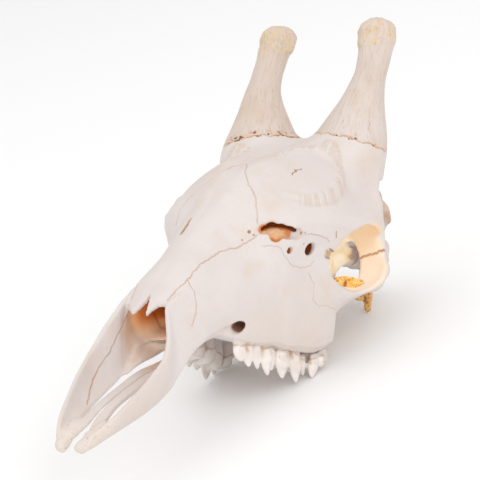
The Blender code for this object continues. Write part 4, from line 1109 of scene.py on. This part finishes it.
def add_skull():
    """The whole skull as one mesh with seams and relief, then shared out among the bones."""
    left = build(STEP, 1)
    v, f = surface(left, build(STEP, -1))
    for reach in FINER:
        v, f = refine(v, f, near_seams(v, reach))
    n = normals(v, f)
    if (np.cross(v[f[:, 1]] - v[f[:, 0]], v[f[:, 2]] - v[f[:, 0]]) * v[f[:, 0]]).sum() < 0:
        f = f[:, ::-1]
        n = -n
    values, deep = shade_values(v, n, body_distance(left, v))
    v = v - n * deep[:, None]
    n = normals(v, f)
    label = bone_of((v[f[:, 0]] + v[f[:, 1]] + v[f[:, 2]]) / 3)
    for k, node in enumerate(NODES):
        add_bone(node, f[label == k], to_row(v), n @ TURN.T, values)


def add_camera():
    """Camera at the photograph's viewpoint."""
    right, down, ahead = np.array(CAMERA_AXES)
    data = bpy.data.cameras.new("camera")
    data.sensor_width = SENSOR
    data.lens = SENSOR * FOCAL / WIDTH
    data.clip_end = 50
    m = Matrix((TURN @ np.stack([right, -down, -ahead], 1)).tolist()).to_4x4()
    m.translation = to_row(CAMERA_PLACE).tolist()
    cam = show(bpy.data.objects.new("camera", data))
    cam.matrix_world = m
    bpy.context.scene.camera = cam


def add_light(name, place, aim, size, power, colour=(1, 1, 1), seen=True):
    """Round lamp at a place, turned to what it lights."""
    data = bpy.data.lights.new(name, "AREA")
    data.shape = "DISK"
    data.size = size
    data.energy = power
    data.color = colour
    ob = show(bpy.data.objects.new(name, data))
    ob.location = place
    ob.visible_camera = seen
    ob.rotation_euler = (Vector(aim) - Vector(place)).to_track_quat("-Z", "Y").to_euler()


def add_stage():
    """White floor and world, lamps of the room and glow inside the skull."""
    me = bpy.data.meshes.new("floor")
    s = 8.0
    me.from_pydata([(-s, -s, 0), (s, -s, 0), (s, s, 0), (-s, s, 0)], [], [(0, 1, 2, 3)])
    floor = show(bpy.data.objects.new("floor", me))
    floor.location.z = -0.0005
    mat = bpy.data.materials.new("floor")
    mat.use_nodes = True
    paper = (("Base Color", (0.95, 0.95, 0.95, 1)), ("Roughness", 0.9), ("Specular IOR Level", 0.1))
    for name, value in paper:
        mat.node_tree.nodes["Principled BSDF"].inputs[name].default_value = value
    me.materials.append(mat)
    world = bpy.data.worlds.new("studio")
    world.use_nodes = True
    background = world.node_tree.nodes["Background"]
    background.inputs["Color"].default_value = (1, 1, 1, 1)
    background.inputs["Strength"].default_value = 0.88
    bpy.context.scene.world = world
    add_light("key", (1.2, 2.4, 2.0), (0, 0, 0.15), 2.2, 26)
    add_light("top", (-0.4, -0.6, 2.8), (0, 0, 0.15), 2.2, 9)
    add_light("front", (2.8, -0.2, 1.3), (0.1, 0, 0.15), 1.6, 7)
    # light that the thin bone lets through into the nose and the socket
    for name, place, aim, power, colour in (
            ("nose", (185, 0, 62), (130, -8, 100), 0.011, (1, 0.9, 0.74)),
            ("socket", (-34, 100, 98), (-82, 52, 104), 0.004, (1, 0.95, 0.86))):
        add_light(name, to_row(place).tolist(), to_row(aim).tolist(), 0.02, power, colour, False)
    bpy.context.scene.view_settings.view_transform = "Standard"


add_skull()
add_camera()
add_stage()
